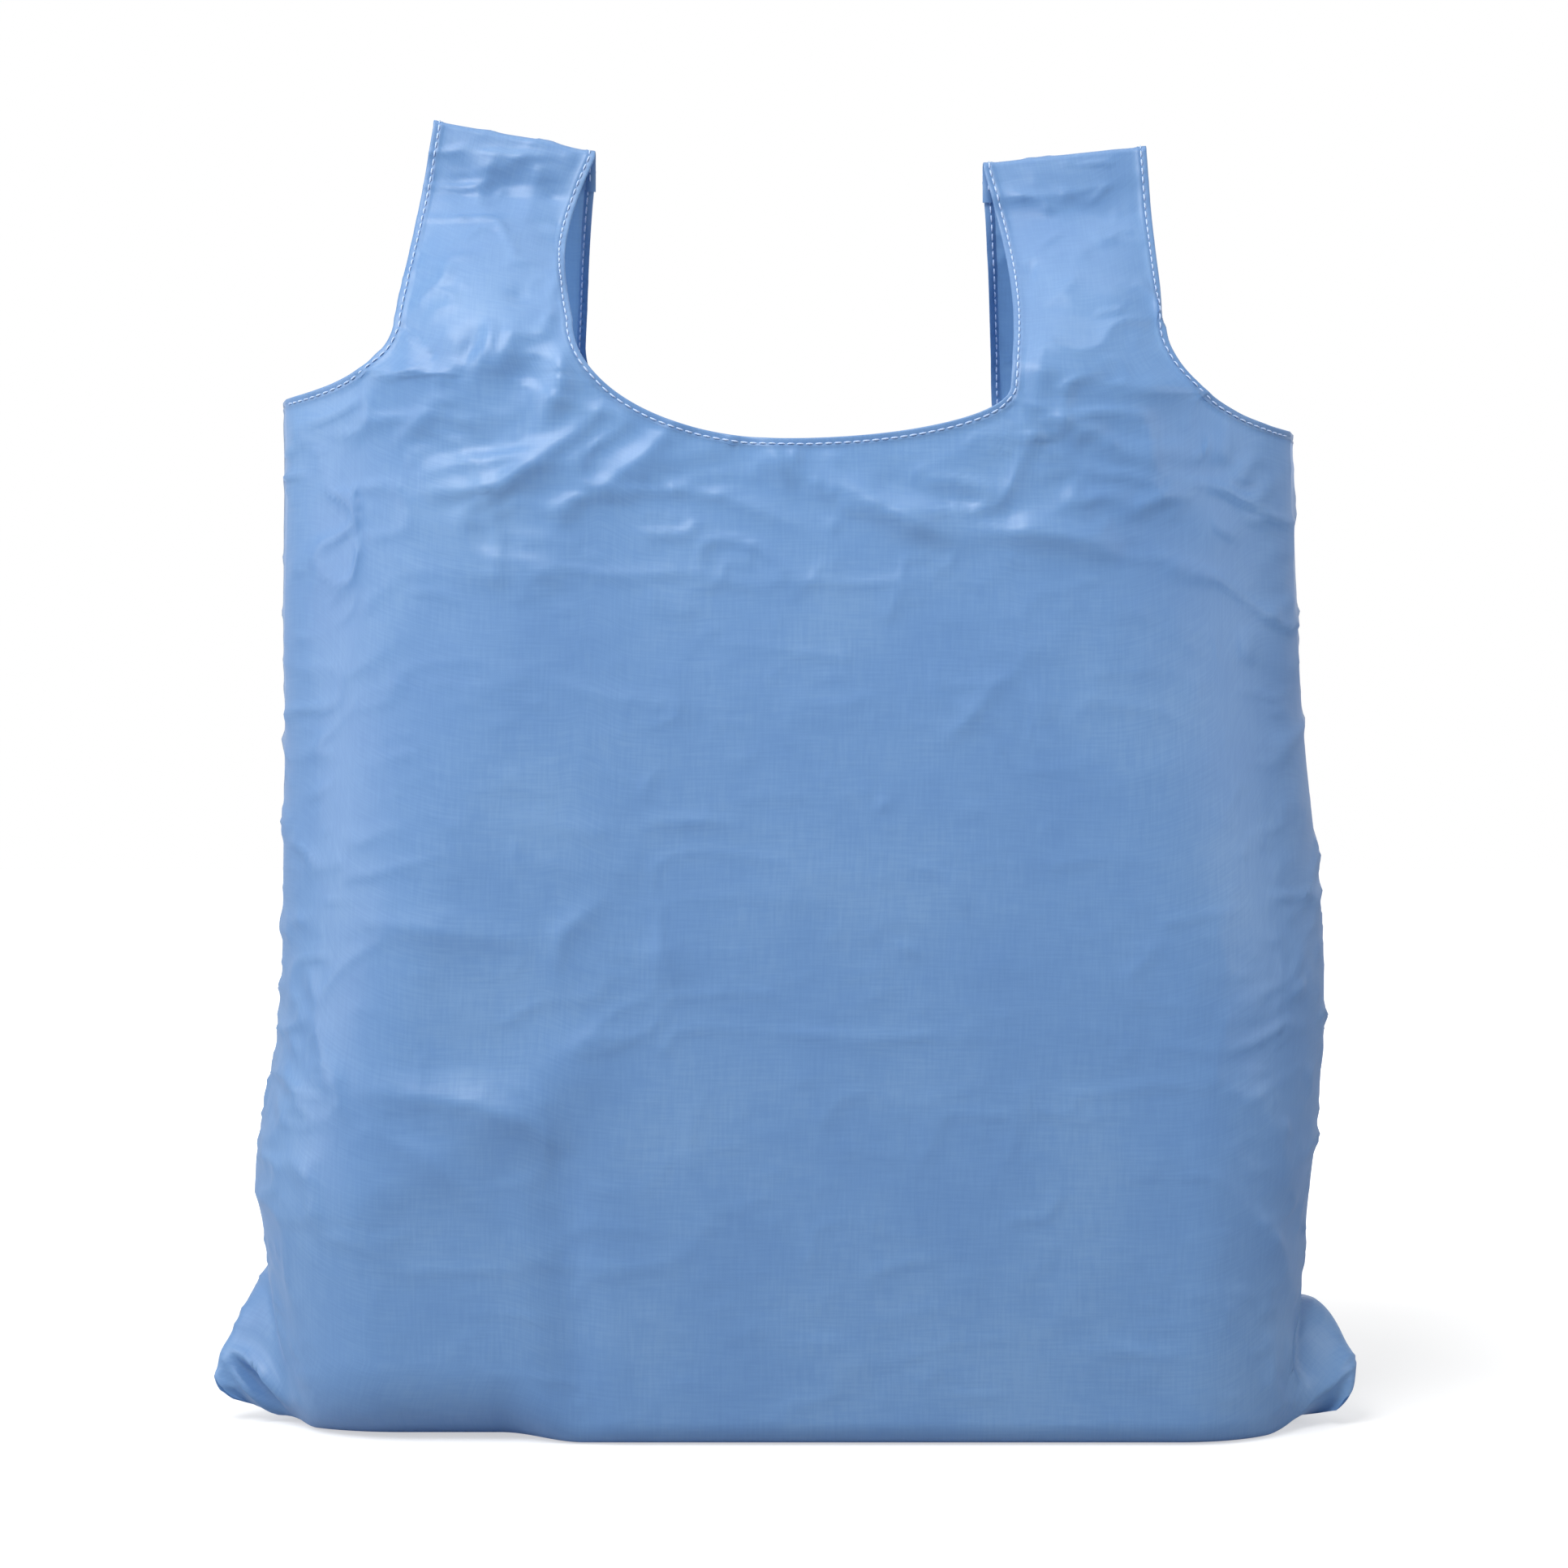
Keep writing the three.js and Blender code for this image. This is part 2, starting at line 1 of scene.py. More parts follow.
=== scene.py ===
# A foldable vest-cut shopping bag of thin taffeta, standing open.
# The cloth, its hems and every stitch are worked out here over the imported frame. Front is -Y, up is +Z.
import bpy
import numpy as np
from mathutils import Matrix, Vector


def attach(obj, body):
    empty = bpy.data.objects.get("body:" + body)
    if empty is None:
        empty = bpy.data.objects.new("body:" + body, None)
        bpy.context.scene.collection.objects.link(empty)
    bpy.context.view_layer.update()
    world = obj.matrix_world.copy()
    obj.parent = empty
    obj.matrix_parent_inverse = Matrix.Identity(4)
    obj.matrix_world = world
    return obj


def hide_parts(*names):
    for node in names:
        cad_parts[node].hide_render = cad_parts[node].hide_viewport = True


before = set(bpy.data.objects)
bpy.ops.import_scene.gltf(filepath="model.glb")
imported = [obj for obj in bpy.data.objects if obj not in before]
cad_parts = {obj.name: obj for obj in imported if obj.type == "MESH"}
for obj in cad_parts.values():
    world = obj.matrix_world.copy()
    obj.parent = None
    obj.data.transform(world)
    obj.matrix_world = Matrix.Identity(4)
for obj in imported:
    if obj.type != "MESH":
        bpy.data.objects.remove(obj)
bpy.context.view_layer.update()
mm = 0.001
quarter = np.pi / 2
print("frame loaded")

# The camera stands level with the middle of the bag, as the photograph was taken.
view = {"height": 237 * mm, "distance": 1200 * mm, "frontPlane": -57 * mm, "lens": 77.1, "sensor": 36}


def makeCamera():
    data = bpy.data.cameras.new("camera")
    data.lens = view["lens"]
    data.sensor_width = view["sensor"]
    data.clip_end = 50
    camera = bpy.data.objects.new("camera", data)
    camera.location = (0, view["frontPlane"] - view["distance"], view["height"])
    camera.rotation_euler = (quarter, 0, 0)
    bpy.context.collection.objects.link(camera)
    bpy.context.scene.camera = camera


makeCamera()

# The bag's form, in millimetres. Each pair is the left and the right side, as it hangs and slumps.
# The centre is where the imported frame's origin lies in these millimetres. Heights "above mouth" start from
# the mouth's lowest point, and the turns of armhole and mouth are shares of a quarter ellipse.
bag = {
    "centre": (0.8, 0.3, 0),
    "halfCloth": 0.2,
    "seamPlane": 0.32,
    "edgeGap": 0.05,
    "depthLow": 57,
    "depthHigh": 50,
    "mouthHeight": 361,
    "frontBulge": 4,
    "reachLow": 48,
    "reachHigh": 112,
    "foldRadius": 2.5,
    "strapBow": 3,
    "seamBelowFold": 6,
    "strapLap": 8,
    "frontLean": 0.55,
    "lapGap": 1.6,
    "stitchStop": 1.5,
    "seamAllowance": 8,
    "earStart": 0.8,
    "earTaper": 1.4,
    "shoulderHalfWidth": (186, 191),
    "shoulderAboveMouth": (18.5, 6.5),
    "bellyOut": (9, 11),
    "bellyHeight": (92, 165),
    "bellySpan": (42, 95),
    "earOut": (24, 19),
    "earTipHeight": (17, 19),
    "earTopHeight": (58, 46),
    "earForward": (10, 18),
    "earOutRound": (1.6, 0.9),
    "earRiseRound": (1.7, 1.3),
    "earLift": (1.6, 2),
    "earUnder": (14, 17),
    "earUnderTurn": (35, 50),
    "rootOuter": (141, 139.5),
    "rootOuterAboveMouth": (46, 47),
    "rootInner": (76, 82.5),
    "rootInnerAboveMouth": (44, 19),
    "topOuter": (130, 136),
    "topOuterAboveMouth": (124, 114.5),
    "topInner": (70, 75.5),
    "topInnerAboveMouth": (112, 108),
    "strapPinch": (7, 5),
    "armholeTurn": (0.5, 0.5),
    "mouthTurn": (0.64, 0.82),
    "bendRadius": (30, 9),
    "notchPlace": -73,
    "notchSpan": 26,
}

# The hem, in millimetres: its rise, the dimple along its stitches, and the way its edge turns in, as places
# (outwards, inside) from the rim. Grid lines lie at "lines" from every hemmed edge, and the stitches follow
# the one numbered "stitchLine".
hem = {
    "width": 3.2,
    "step": 0.7,
    "rise": 0.35,
    "dimple": 0.22,
    "dimpleWidth": 0.5,
    "stitchInset": 2.0,
    "stitchLine": 4,
    "lines": (0, 0.5, 1, 1.5, 2, 2.5, 3, 3.6, 4.6, 6.2),
    "turn": ((0.22, 0.2), (0.22, 0.5), (0, 0.7), (-1.5, 0.72), (-2.9, 0.7), (-3.3, 0.35)),
}

# How many cells each part of a panel's grid has. The side allowances begin "aboveBend" rows above the bend.
grain = {
    "armhole": 14,
    "strap": 30,
    "mouth": 100,
    "base": 22,
    "bend": 32,
    "wall": 190,
    "root": 14,
    "straps": 60,
    "fold": 12,
    "lap": 8,
    "aboveBend": 8,
}


def clamp(value):
    return np.clip(value, 0, 1)


def smooth(value):
    return clamp(value) ** 2 * (3 - 2 * clamp(value))


def mix(a, b, share):
    return a + (b - a) * share


def ofSide(key, x):  # the left or the right value, by the sign of x
    return np.where(np.asarray(x) < 0, bag[key][0], bag[key][1])


def halfWidth(x, z):  # the shoulder's half width and a soft swelling lower down
    away = (z - ofSide("bellyHeight", x)) / ofSide("bellySpan", x)
    return ofSide("shoulderHalfWidth", x) + ofSide("bellyOut", x) * np.exp(-away * away)


# Plan of the bag at a height: a straight front and an elliptical corner that ends at the side seam.
def planOf(x, z):
    up = smooth(z / bag["mouthHeight"])
    depth = mix(bag["depthLow"], bag["depthHigh"], up)
    reach = mix(bag["reachLow"], bag["reachHigh"], up**2)
    straight = halfWidth(x, z) - reach
    arc = quarter * np.hypot(reach, depth) / np.sqrt(2)
    return reach, depth, straight, arc


def planPoint(across, z):
    reach, depth, straight, arc = planOf(across, z)
    walked = np.abs(across) * (straight + arc)
    angle = np.maximum(0, (walked - straight) / arc) * quarter
    x = np.where(walked < straight, walked, straight + reach * np.sin(angle))
    return np.sign(across) * x, depth * np.cos(angle)


def acrossAt(x, z):
    reach, depth, straight, arc = planOf(x, z)
    beyond = np.abs(x) - straight
    turned = np.arcsin(clamp(beyond / reach)) / quarter * arc
    walked = np.where(beyond < 0, np.abs(x), straight + turned)
    return np.sign(x) * walked / (straight + arc)


# Armhole and mouth are quarter ellipses, from the shoulder and from the middle up to the feet of the
# strap's two edges.
def armholePoint(sign, angle):
    low = bag["mouthHeight"] + ofSide("shoulderAboveMouth", sign)
    rise = ofSide("rootOuterAboveMouth", sign) - ofSide("shoulderAboveMouth", sign)
    corner = halfWidth(sign, low)
    x = sign * mix(corner, ofSide("rootOuter", sign), np.sin(angle))
    return x, low + rise * (1 - np.cos(angle))


def mouthPoint(sign, angle):
    x = sign * ofSide("rootInner", sign) * np.sin(angle)
    return x, bag["mouthHeight"] + ofSide("rootInnerAboveMouth", sign) * (1 - np.cos(angle))


# Shares of a width: close together in the hems on both edges, wider in the middle.
def strapShares(width):
    width = np.asarray(width, float)[..., None]
    edge = np.array(hem["lines"])
    middle = np.linspace(0, 1, grain["strap"])[1:-1] * (width - 2 * edge[-1]) + edge[-1]
    ends = np.broadcast_to(edge, width.shape[:-1] + edge.shape)
    return np.concatenate([ends, middle, width - ends[..., ::-1]], axis=-1) / width


strapColumns = strapShares(1.0).shape[-1] - 1


def strapRoot(sign):  # the line across a strap's foot, from the armhole to the mouth
    outerX, outerZ = armholePoint(sign, ofSide("armholeTurn", sign) * quarter)
    innerX, innerZ = mouthPoint(sign, ofSide("mouthTurn", sign) * quarter)
    share = strapShares(np.hypot(outerX - innerX, outerZ - innerZ))
    return mix(outerX, innerX, share), mix(outerZ, innerZ, share)


def upperBorder():
    angles = np.arange(grain["armhole"]) / grain["armhole"] * quarter
    leftArm, rightArm = (armholePoint(sign, angles * ofSide("armholeTurn", sign)) for sign in (-1, 1))
    leftRoot, rightRoot = strapRoot(-1), strapRoot(1)
    mouthX = np.linspace(leftRoot[0][-1], rightRoot[0][-1], grain["mouth"] + 1)[1:-1]
    sign = np.where(mouthX < 0, -1, 1)
    mouthAngle = np.arcsin(np.abs(mouthX) / ofSide("rootInner", sign))
    mouthZ = mouthPoint(sign, mouthAngle)[1]
    x = np.concatenate([leftArm[0], leftRoot[0], mouthX, rightRoot[0][::-1], rightArm[0][::-1]])
    z = np.concatenate([leftArm[1], leftRoot[1], mouthZ, rightRoot[1][::-1], rightArm[1][::-1]])
    return x, z


borderX, borderZ = upperBorder()
columnCount = len(borderX)


# Soft folds seen on the bag. Ends are across (-1 at the left seam, 1 at the right) and up (1 at the mouth),
# then width and height in millimetres; a height below 0 is a valley.
frontFolds = [
    ((-0.42, 1.05), (-0.49, 0.98), 7, 1.2),
    ((-0.4, 0.975), (-0.68, 0.95), 6, 1.2),
    ((-0.14, 0.99), (-0.27, 0.97), 5, 1),
    ((-0.02, 0.985), (0.25, 0.92), 7, 1.4),
    ((0.25, 0.92), (0.6, 0.9), 7, 1.4),
    ((0.2, 0.95), (0.42, 0.925), 5, -1.5),
    ((0.66, 1.0), (0.82, 0.92), 9, 1.5),
    ((-0.39, 0), (-0.42, 0.28), 9, -2.5),
    ((-0.81, 0.24), (-0.42, 0.37), 14, 2.5),
]
backFolds = [
    ((0.44, 1.05), (0.52, 0.96), 8, 3),
    ((-0.44, 1.05), (-0.54, 0.96), 8, 3),
    ((-0.3, 0.98), (0.05, 0.92), 9, 3),
    ((0.05, 0.92), (0.4, 0.97), 9, 3),
    ((0.7, 0.3), (0.3, 0.42), 16, 3.5),
    ((-0.7, 0.22), (-0.25, 0.34), 16, 3),
]


# Height of the folds over a point: each is a bell across its line, rounded off beyond its ends.
def foldHeight(folds, x, z):
    height = np.zeros(np.shape(x))
    for start, end, width, rise in folds:
        ax, ex = (p[0] * float(ofSide("shoulderHalfWidth", p[0])) for p in (start, end))
        az, ez = (p[1] * bag["mouthHeight"] for p in (start, end))
        along = clamp(((x - ax) * (ex - ax) + (z - az) * (ez - az)) / ((ex - ax) ** 2 + (ez - az) ** 2))
        away = np.hypot(x - ax - along * (ex - ax), z - az - along * (ez - az))
        height += rise * np.exp(-((away / width) ** 2))
    return height


# The panel's body: rows run from the bottom seam, under the base, round the bend and up to the border.
def bodyGrid(facing, folds):
    even = np.linspace(-1, 1, columnCount)[None, :]
    side = np.where(even < 0, -1, 1)
    notch = smooth((even * ofSide("shoulderHalfWidth", side) - bag["notchPlace"]) / bag["notchSpan"] + 0.5)
    radius = mix(bag["bendRadius"][0], bag["bendRadius"][1], notch)
    depth = bag["depthLow"]
    base = np.linspace(0, 1, grain["base"] + 1)[:-1, None]
    turn = np.linspace(0, 1, grain["bend"] + 1)[:-1, None] * quarter
    wall = np.linspace(0, 1, grain["wall"] + 1)[:-1, None]
    drops = np.array(hem["lines"])[::-1, None]
    foot = bag["halfCloth"]
    seamTop = bag["mouthHeight"] + ofSide("shoulderAboveMouth", side)

    def stacked(bottom, bend, low, top):
        blank = np.zeros((1, columnCount))
        climb = mix(low, top - drops[0], wall)
        return np.concatenate([bottom + blank, bend + blank, climb, top - drops + blank])

    pathZ = stacked(foot + 0 * base, foot + radius * (1 - np.cos(turn)), foot + radius, borderZ[None, :])
    share = np.concatenate([
        base * (depth - radius) / depth,
        (depth - radius * (1 - np.sin(turn))) / depth,
        np.ones((len(wall) + len(drops), columnCount)),
    ])
    turned = np.concatenate([base / 2, 0.5 + turn / quarter / 2, np.ones((len(wall) + len(drops), 1))])
    tip, top = ofSide("earTipHeight", side), ofSide("earTopHeight", side)
    angle = mix(-np.radians(ofSide("earUnderTurn", side)), quarter, turned)
    rise = np.sin(angle)
    earZ = np.where(rise < 0, tip + ofSide("earUnder", side) * rise,
                    mix(tip, top, np.maximum(rise, 0) ** ofSide("earRiseRound", side)))
    out = ofSide("earOut", side) * np.maximum(0, np.cos(angle)) ** ofSide("earOutRound", side)
    low = 1 - smooth(turned)
    above = stacked(0 * base, 0 * turn, top, seamTop)
    seamZ = np.where(turned < 1, earZ, above)
    across = mix(even, acrossAt(borderX, borderZ)[None, :], smooth(pathZ / borderZ))
    ear = smooth((np.abs(across) - bag["earStart"]) / (1 - bag["earStart"]))
    z = mix(pathZ, seamZ, ear ** mix(1, ofSide("earLift", side), low))
    x, flat = planPoint(across, z)
    x = x + side * out * ear ** bag["earTaper"]
    onWall = smooth(clamp(turned * 2 - 1))
    swell = bag["frontBulge"] * np.sin(np.pi * clamp(z / bag["mouthHeight"])) + foldHeight(folds, x, z)
    y = facing * np.maximum(bag["seamPlane"], flat * share + swell * (1 - across**2) * onWall)
    y = y - ofSide("earForward", side) * ear**2 * low
    return np.stack([x, y, z], axis=-1)


# A strap: straight from its foot to its end, leaning in from the panel to meet its other half at the fold.
def strapGrid(facing, sign):
    drop = bag["foldRadius"] if facing < 0 else bag["seamBelowFold"]
    turned = np.arange(1, grain["root"] + 1) / grain["root"]
    up = np.arange(1, grain["straps"] + 1) / grain["straps"]
    edges = []
    for point, turn, key in (
        (armholePoint, "armholeTurn", "topOuter"),
        (mouthPoint, "mouthTurn", "topInner"),
    ):
        rootX, rootZ = point(sign, quarter * mix(ofSide(turn, sign), 1, turned))
        topZ = bag["mouthHeight"] + float(ofSide(key + "AboveMouth", sign))
        pinch = float(ofSide("strapPinch", sign)) * np.sin(np.pi * up) * (key == "topInner" and facing < 0)
        x = np.concatenate([rootX, mix(rootX[-1], sign * float(ofSide(key, sign)), up) + sign * pinch])
        z = np.concatenate([rootZ, mix(rootZ[-1], topZ - drop, up)])
        edges.append((x, z, topZ))
    (outerX, outerZ, outerTop), (innerX, innerZ, innerTop) = edges
    share = strapShares(np.hypot(outerX - innerX, outerZ - innerZ))
    x = mix(outerX[:, None], innerX[:, None], share)
    z = mix(outerZ[:, None], innerZ[:, None], share)
    footX, footZ = strapRoot(sign)
    footDepth = planPoint(acrossAt(footX, footZ), footZ)[1]
    fold = mix(outerTop, innerTop, share)
    upright = fold - bag["seamBelowFold"] - bag["strapLap"] - bag["stitchStop"]
    lean = clamp((upright - z) / (upright - footZ))
    end = bag["foldRadius"] if facing < 0 else bag["foldRadius"] + bag["lapGap"]
    bow = bag["strapBow"] * 4 * share * (1 - share) * np.sin(np.pi * lean)
    swung = smooth(lean)
    if facing < 0:  # the front half starts to lean right at the fold
        down = clamp((fold - bag["foldRadius"] - z) / (fold - bag["foldRadius"] - footZ))
        swung = swung + bag["frontLean"] * down * (1 - down) ** 2
    grid = np.stack([x, facing * (mix(end, footDepth, swung) + bow), z], axis=-1)
    if facing > 0:
        return grid
    turn = np.linspace(0, np.pi, grain["fold"] + 1)[1:, None]
    radius = bag["foldRadius"]
    crestX = np.broadcast_to(x[-1], (grain["fold"], x.shape[1]))
    crest = np.stack([crestX, 0 * crestX - radius * np.cos(turn), z[-1] + radius * np.sin(turn)], axis=-1)
    down = np.linspace(0, bag["seamBelowFold"] + bag["strapLap"] - radius, grain["lap"] + 1)[1:, None]
    lapX = np.broadcast_to(x[-1], (grain["lap"], x.shape[1]))
    lap = np.stack([lapX, 0 * lapX + radius, z[-1] - down], axis=-1)
    return np.concatenate([grid, crest, lap])


# Value noise: random heights on a lattice, blended smoothly between its corners; the seed fixes it.
# The shift of 200.5 cells keeps every place positive and off the corners.
def noiseAt(points, scale, seed):
    rng = np.random.default_rng(seed)
    size = 64
    lattice = rng.uniform(-1, 1, (size, size, size))
    place = points / np.asarray(scale, float) + 200.5
    cell = np.floor(place).astype(int)
    t = place - cell
    t = t * t * t * (t * (t * 6 - 15) + 10)
    total = 0
    for i in (0, 1):
        for j in (0, 1):
            for k in (0, 1):
                weight = (np.where(i, t[..., 0], 1 - t[..., 0]) * np.where(j, t[..., 1], 1 - t[..., 1])
                          * np.where(k, t[..., 2], 1 - t[..., 2]))
                total = total + weight * lattice[(cell[..., 0] + i) % size, (cell[..., 1] + j) % size,
                                                 (cell[..., 2] + k) % size]
    return total


# Crumples: where noise crosses zero it leaves a crease. A second noise, of the grain "bend", shifts it to
# and fro, and a third breaks it off.
def crumple(points, scale, bend, seed):
    drift = np.stack([noiseAt(points, bend, seed + k) for k in (1, 2, 3)], axis=-1)
    ridge = 1 - np.abs(noiseAt(points + drift * np.asarray(scale) * 0.8, scale, seed))
    return ridge**6 * smooth(0.35 + 1.3 * noiseAt(points, np.asarray(scale) * 0.8, seed + 4))


# Creases of the front, each a line of places (x, z) with the width and the height of its crest: a height
# below 0 is a valley. They gather at the straps' feet, swag under the mouth and pull from the corners.
frontCreases = [
    # under the left strap
    (((-124, 376), (-130, 369), (-138, 361)), 3.2, 1.8),
    (((-65, 371), (-75, 362), (-87, 353), (-100, 346), (-111, 343), (-124, 342)), 3.6, 2.8),
    (((-78, 362), (-90, 356), (-106, 353), (-121, 352), (-129, 349)), 3.4, 2.2),
    (((-37, 368), (-49, 355), (-63, 345), (-74, 340)), 5.5, 3),
    (((-73, 338), (-78, 333), (-81, 329)), 2.5, 1.2),
    # under the mouth
    (((-17, 363), (-20, 358)), 2.2, 1),
    (((-6, 358), (-1, 352), (3, 342)), 4.2, 2),
    (((4, 358), (6, 352)), 2.2, 1.2),
    (((10, 347), (15, 342)), 2.2, 1.2),
    (((15, 356), (23, 352)), 2.2, 1),
    (((20, 344), (38, 336), (50, 329), (63, 324)), 6, 3),
    (((74, 328), (100, 326), (116, 323)), 4.5, 2.6),
    # the right shoulder
    (((101, 340), (106, 342)), 2.2, 1),
    (((125, 335), (135, 339), (146, 342)), 3, 1.9),
    (((85, 373), (88, 365), (93, 358), (99, 355)), 2.8, 1.8),
    (((174, 358), (169, 353), (165, 346)), 3.5, 1.7),
    (((114, 379), (133, 380), (150, 382)), 5.5, 2),
    # the right strap, and its outer edge at the foot
    (((86, 388), (92, 386), (100, 384)), 4, 1.4),
    (((86, 411), (106, 409), (132, 402)), 9, -2.2),
    (((80, 455), (105, 456), (120, 460)), 2.6, 1.2),
    (((109, 451), (119, 449), (130, 449)), 5, -1.8),
    (((89, 426), (94, 425)), 5, -1.2),
    (((132, 421), (137, 413), (139, 404), (143, 400)), 1.8, 1.6),
    (((141, 417), (140, 410), (139, 404)), 1.6, -1.8),
    # the left strap, from the top down
    (((-118, 465), (-118, 454)), 8, -1.9),
    (((-113, 456), (-103, 458), (-93, 456)), 11, -2.6),
    (((-85, 459), (-86, 453)), 5, -1.2),
    (((-93, 446), (-86, 445), (-79, 444)), 2.2, -1.3),
    (((-89, 439), (-85, 437), (-80, 433)), 2.6, -1.3),
    (((-100, 415), (-95, 414), (-89, 413)), 4.2, -2),
    (((-83, 426), (-83, 418), (-84, 412)), 2.6, 1.5),
    (((-83, 409), (-84, 406), (-86, 402)), 1.6, 1.6),
    (((-100, 400), (-93, 399), (-87, 399), (-83, 402)), 1.7, 1.1),
    # the left strap's foot
    (((-98, 387), (-93, 385), (-87, 383)), 8, -2.4),
    (((-107, 403), (-106, 394), (-111, 383)), 3.8, 2.8),
    (((-97, 402), (-99, 393), (-105, 383)), 3.2, 1.9),
    (((-109, 402), (-112, 395), (-116, 387)), 3.4, -2),
    (((-79, 394), (-80, 386), (-82, 377)), 3.2, 1.9),
    (((-138, 404), (-133, 400), (-129, 395)), 1.9, -1.8),
    (((-139, 401), (-135, 399), (-132, 397)), 2.4, 1.5),
    (((-135, 391), (-135, 384)), 2.8, 1.3),
    (((-129, 393), (-125, 392)), 3.2, -1.3),
    (((-122, 386), (-123, 381)), 3.2, 1.2),
    # puckers at the left seam
    (((-177, 190), (-174, 185)), 2, 1),
    (((-179, 147), (-175, 137)), 2.6, 1.5),
    (((-181, 135), (-174, 123)), 2.8, 1.6),
    (((-183, 123), (-180, 115)), 2.2, 1.1),
    (((-172, 170), (-168, 157)), 2.4, 1.3),
    (((-168, 150), (-163, 134)), 2.6, 1.5),
    (((-161, 137), (-157, 117)), 2.6, 1.4),
    (((-171, 98), (-166, 76)), 3, 1.5),
    (((-177, 100), (-167, 94)), 3, 1.3),
    (((-166, 136), (-164, 130), (-162, 125)), 3, 1.2),
    # soft ones on the stretched front
    (((-147, 188), (-125, 184), (-99, 181)), 7, 1.8),
    (((-148, 127), (-112, 123), (-90, 116), (-75, 103)), 8, 3.2),
    (((-145, 112), (-130, 106), (-116, 95), (-103, 80)), 6, 1.6),
    (((-65, 195), (-79, 183), (-81, 169)), 4.5, 1.5),
    (((-54, 147), (-64, 146), (-74, 144)), 4, 1),
    (((-48, 223), (-32, 224), (-17, 223)), 2.4, 0.8),
    (((34, 228), (38, 231)), 2, 0.8),
    (((41, 180), (50, 176)), 2, 0.8),
    (((77, 273), (70, 264), (61, 254)), 3.8, 1),
    (((90, 271), (96, 258)), 2.8, 0.8),
    (((-45, 184), (-39, 164)), 6, 1.5),
    # puckers at the right seam
    (((172, 332), (180, 336)), 3, 1.3),
    (((177, 297), (183, 303)), 3, 1.3),
    (((181, 247), (187, 252)), 3, 1.2),
    (((168, 131), (178, 111), (184, 88)), 5, 1.6),
    (((184, 160), (190, 165)), 3, 1.2),
    (((172, 82), (181, 65), (186, 50)), 4, 1.6),
    # pulls and a hollow below both straps
    (((-78, 390), (-79, 380), (-86, 366)), 3.2, 2.2),
    (((-132, 361), (-110, 358), (-93, 361)), 9, -2.6),
    (((84, 375), (94, 372), (101, 367), (112, 364), (121, 356), (132, 354)), 3.6, 2.2),
    (((181, 349), (175, 343), (167, 339)), 2.6, 1.6),
    # the left ear: its fold, and the hollow between two crests
    (((-187, 57), (-184, 41), (-181, 27)), 1.8, 2.4),
    (((-190, 48), (-187, 30)), 3.2, -1.6),
    (((-204, 26), (-197, 25), (-190, 21), (-185, 15), (-182, 9)), 2.4, 5.5),
    (((-206, 23), (-200, 16), (-193, 10), (-186, 4)), 2.6, 5),
    (((-202, 23), (-196, 18), (-190, 12), (-185, 8)), 2.6, -2.6),
    # the right ear: its dimple
    (((185, 35), (185, 27), (188, 19), (192, 14)), 2.4, 2.4),
    (((190, 34), (191, 24), (194, 16)), 4.5, -4.5),
    (((178, 36), (177, 21), (181, 12), (190, 9)), 3.2, 1.9),
]


# Height of the creases: each falls off as exp(-(distance / width)^1.35) and fades towards both ends.
def creaseHeight(creases, points):
    height = np.zeros(len(points))
    spots = points[:, [0, 2]]
    for line, width, rise in creases:
        line = np.array(line, float)
        lengths = np.linalg.norm(np.diff(line, axis=0), axis=1)
        walked = np.concatenate([[0], np.cumsum(lengths)])
        close = np.all((spots > line.min(0) - 4 * width) & (spots < line.max(0) + 4 * width), axis=1)
        near = spots[close]
        away, share = np.full(len(near), 1e9), np.zeros(len(near))
        for k, length in enumerate(lengths):
            run = (line[k + 1] - line[k]) / length
            along = np.clip((near - line[k]) @ run, 0, length)
            gap = np.linalg.norm(near - line[k] - along[:, None] * run, axis=1)
            share = np.where(gap < away, (walked[k] + along) / walked[-1], share)
            away = np.minimum(away, gap)
        fade = 0.35 + 0.65 * np.sin(np.pi * share)
        height[close] += rise * fade * np.exp(-((away / width) ** 1.35))
    return height


# Crumples of three sizes: (height, grain along x, y and z, bend, seed), all but the seed in millimetres, and
# a soft swell (share of the large height, grain, seed). They fade out towards the stretched front, which
# keeps the share "calm", and towards the base.
crinkles = {
    "large": (1.7, (60, 50, 38), 90, 12),
    "middle": (1.8, (34, 26, 16), 50, 23),
    "small": (0.9, (13, 10, 8), 30, 37),
    "swell": (0.5, (70, 60, 46), 11),
    "calm": 0.3,
    "seamShare": 0.8,
    "upperFrom": 285,
    "upperSpan": 60,
    "seamFrom": 150,
    "seamSpan": 40,
    "baseFrom": 2,
    "baseSpan": 14,
}


# Height of the crumples: strong near the mouth, the straps and the seams, weaker on the stretched front.
def crinkleHeight(points):
    x, z = points[..., 0], points[..., 2]
    upper = smooth((z - crinkles["upperFrom"]) / crinkles["upperSpan"])
    seam = smooth((np.abs(x) - crinkles["seamFrom"]) / crinkles["seamSpan"])
    loose = mix(crinkles["calm"], 1, np.maximum(upper, crinkles["seamShare"] * seam))
    swell, grainSize, seed = crinkles["swell"]
    total = crinkles["large"][0] * swell * noiseAt(points, grainSize, seed)
    for size in ("large", "middle", "small"):
        height, grainSize, bend, seed = crinkles[size]
        total = total + height * crumple(points, grainSize, bend, seed)
    low = smooth((z - crinkles["baseFrom"]) / crinkles["baseSpan"])
    return low * loose * total


# Distance of every point from a chain of rim points, worked out in slices to spare memory.
def distanceTo(points, chain):
    parts = [np.sqrt(((part[:, None, :] - chain[None, :, :]) ** 2).sum(-1)).min(1)
             for part in np.array_split(points, 80)]
    return np.concatenate(parts)


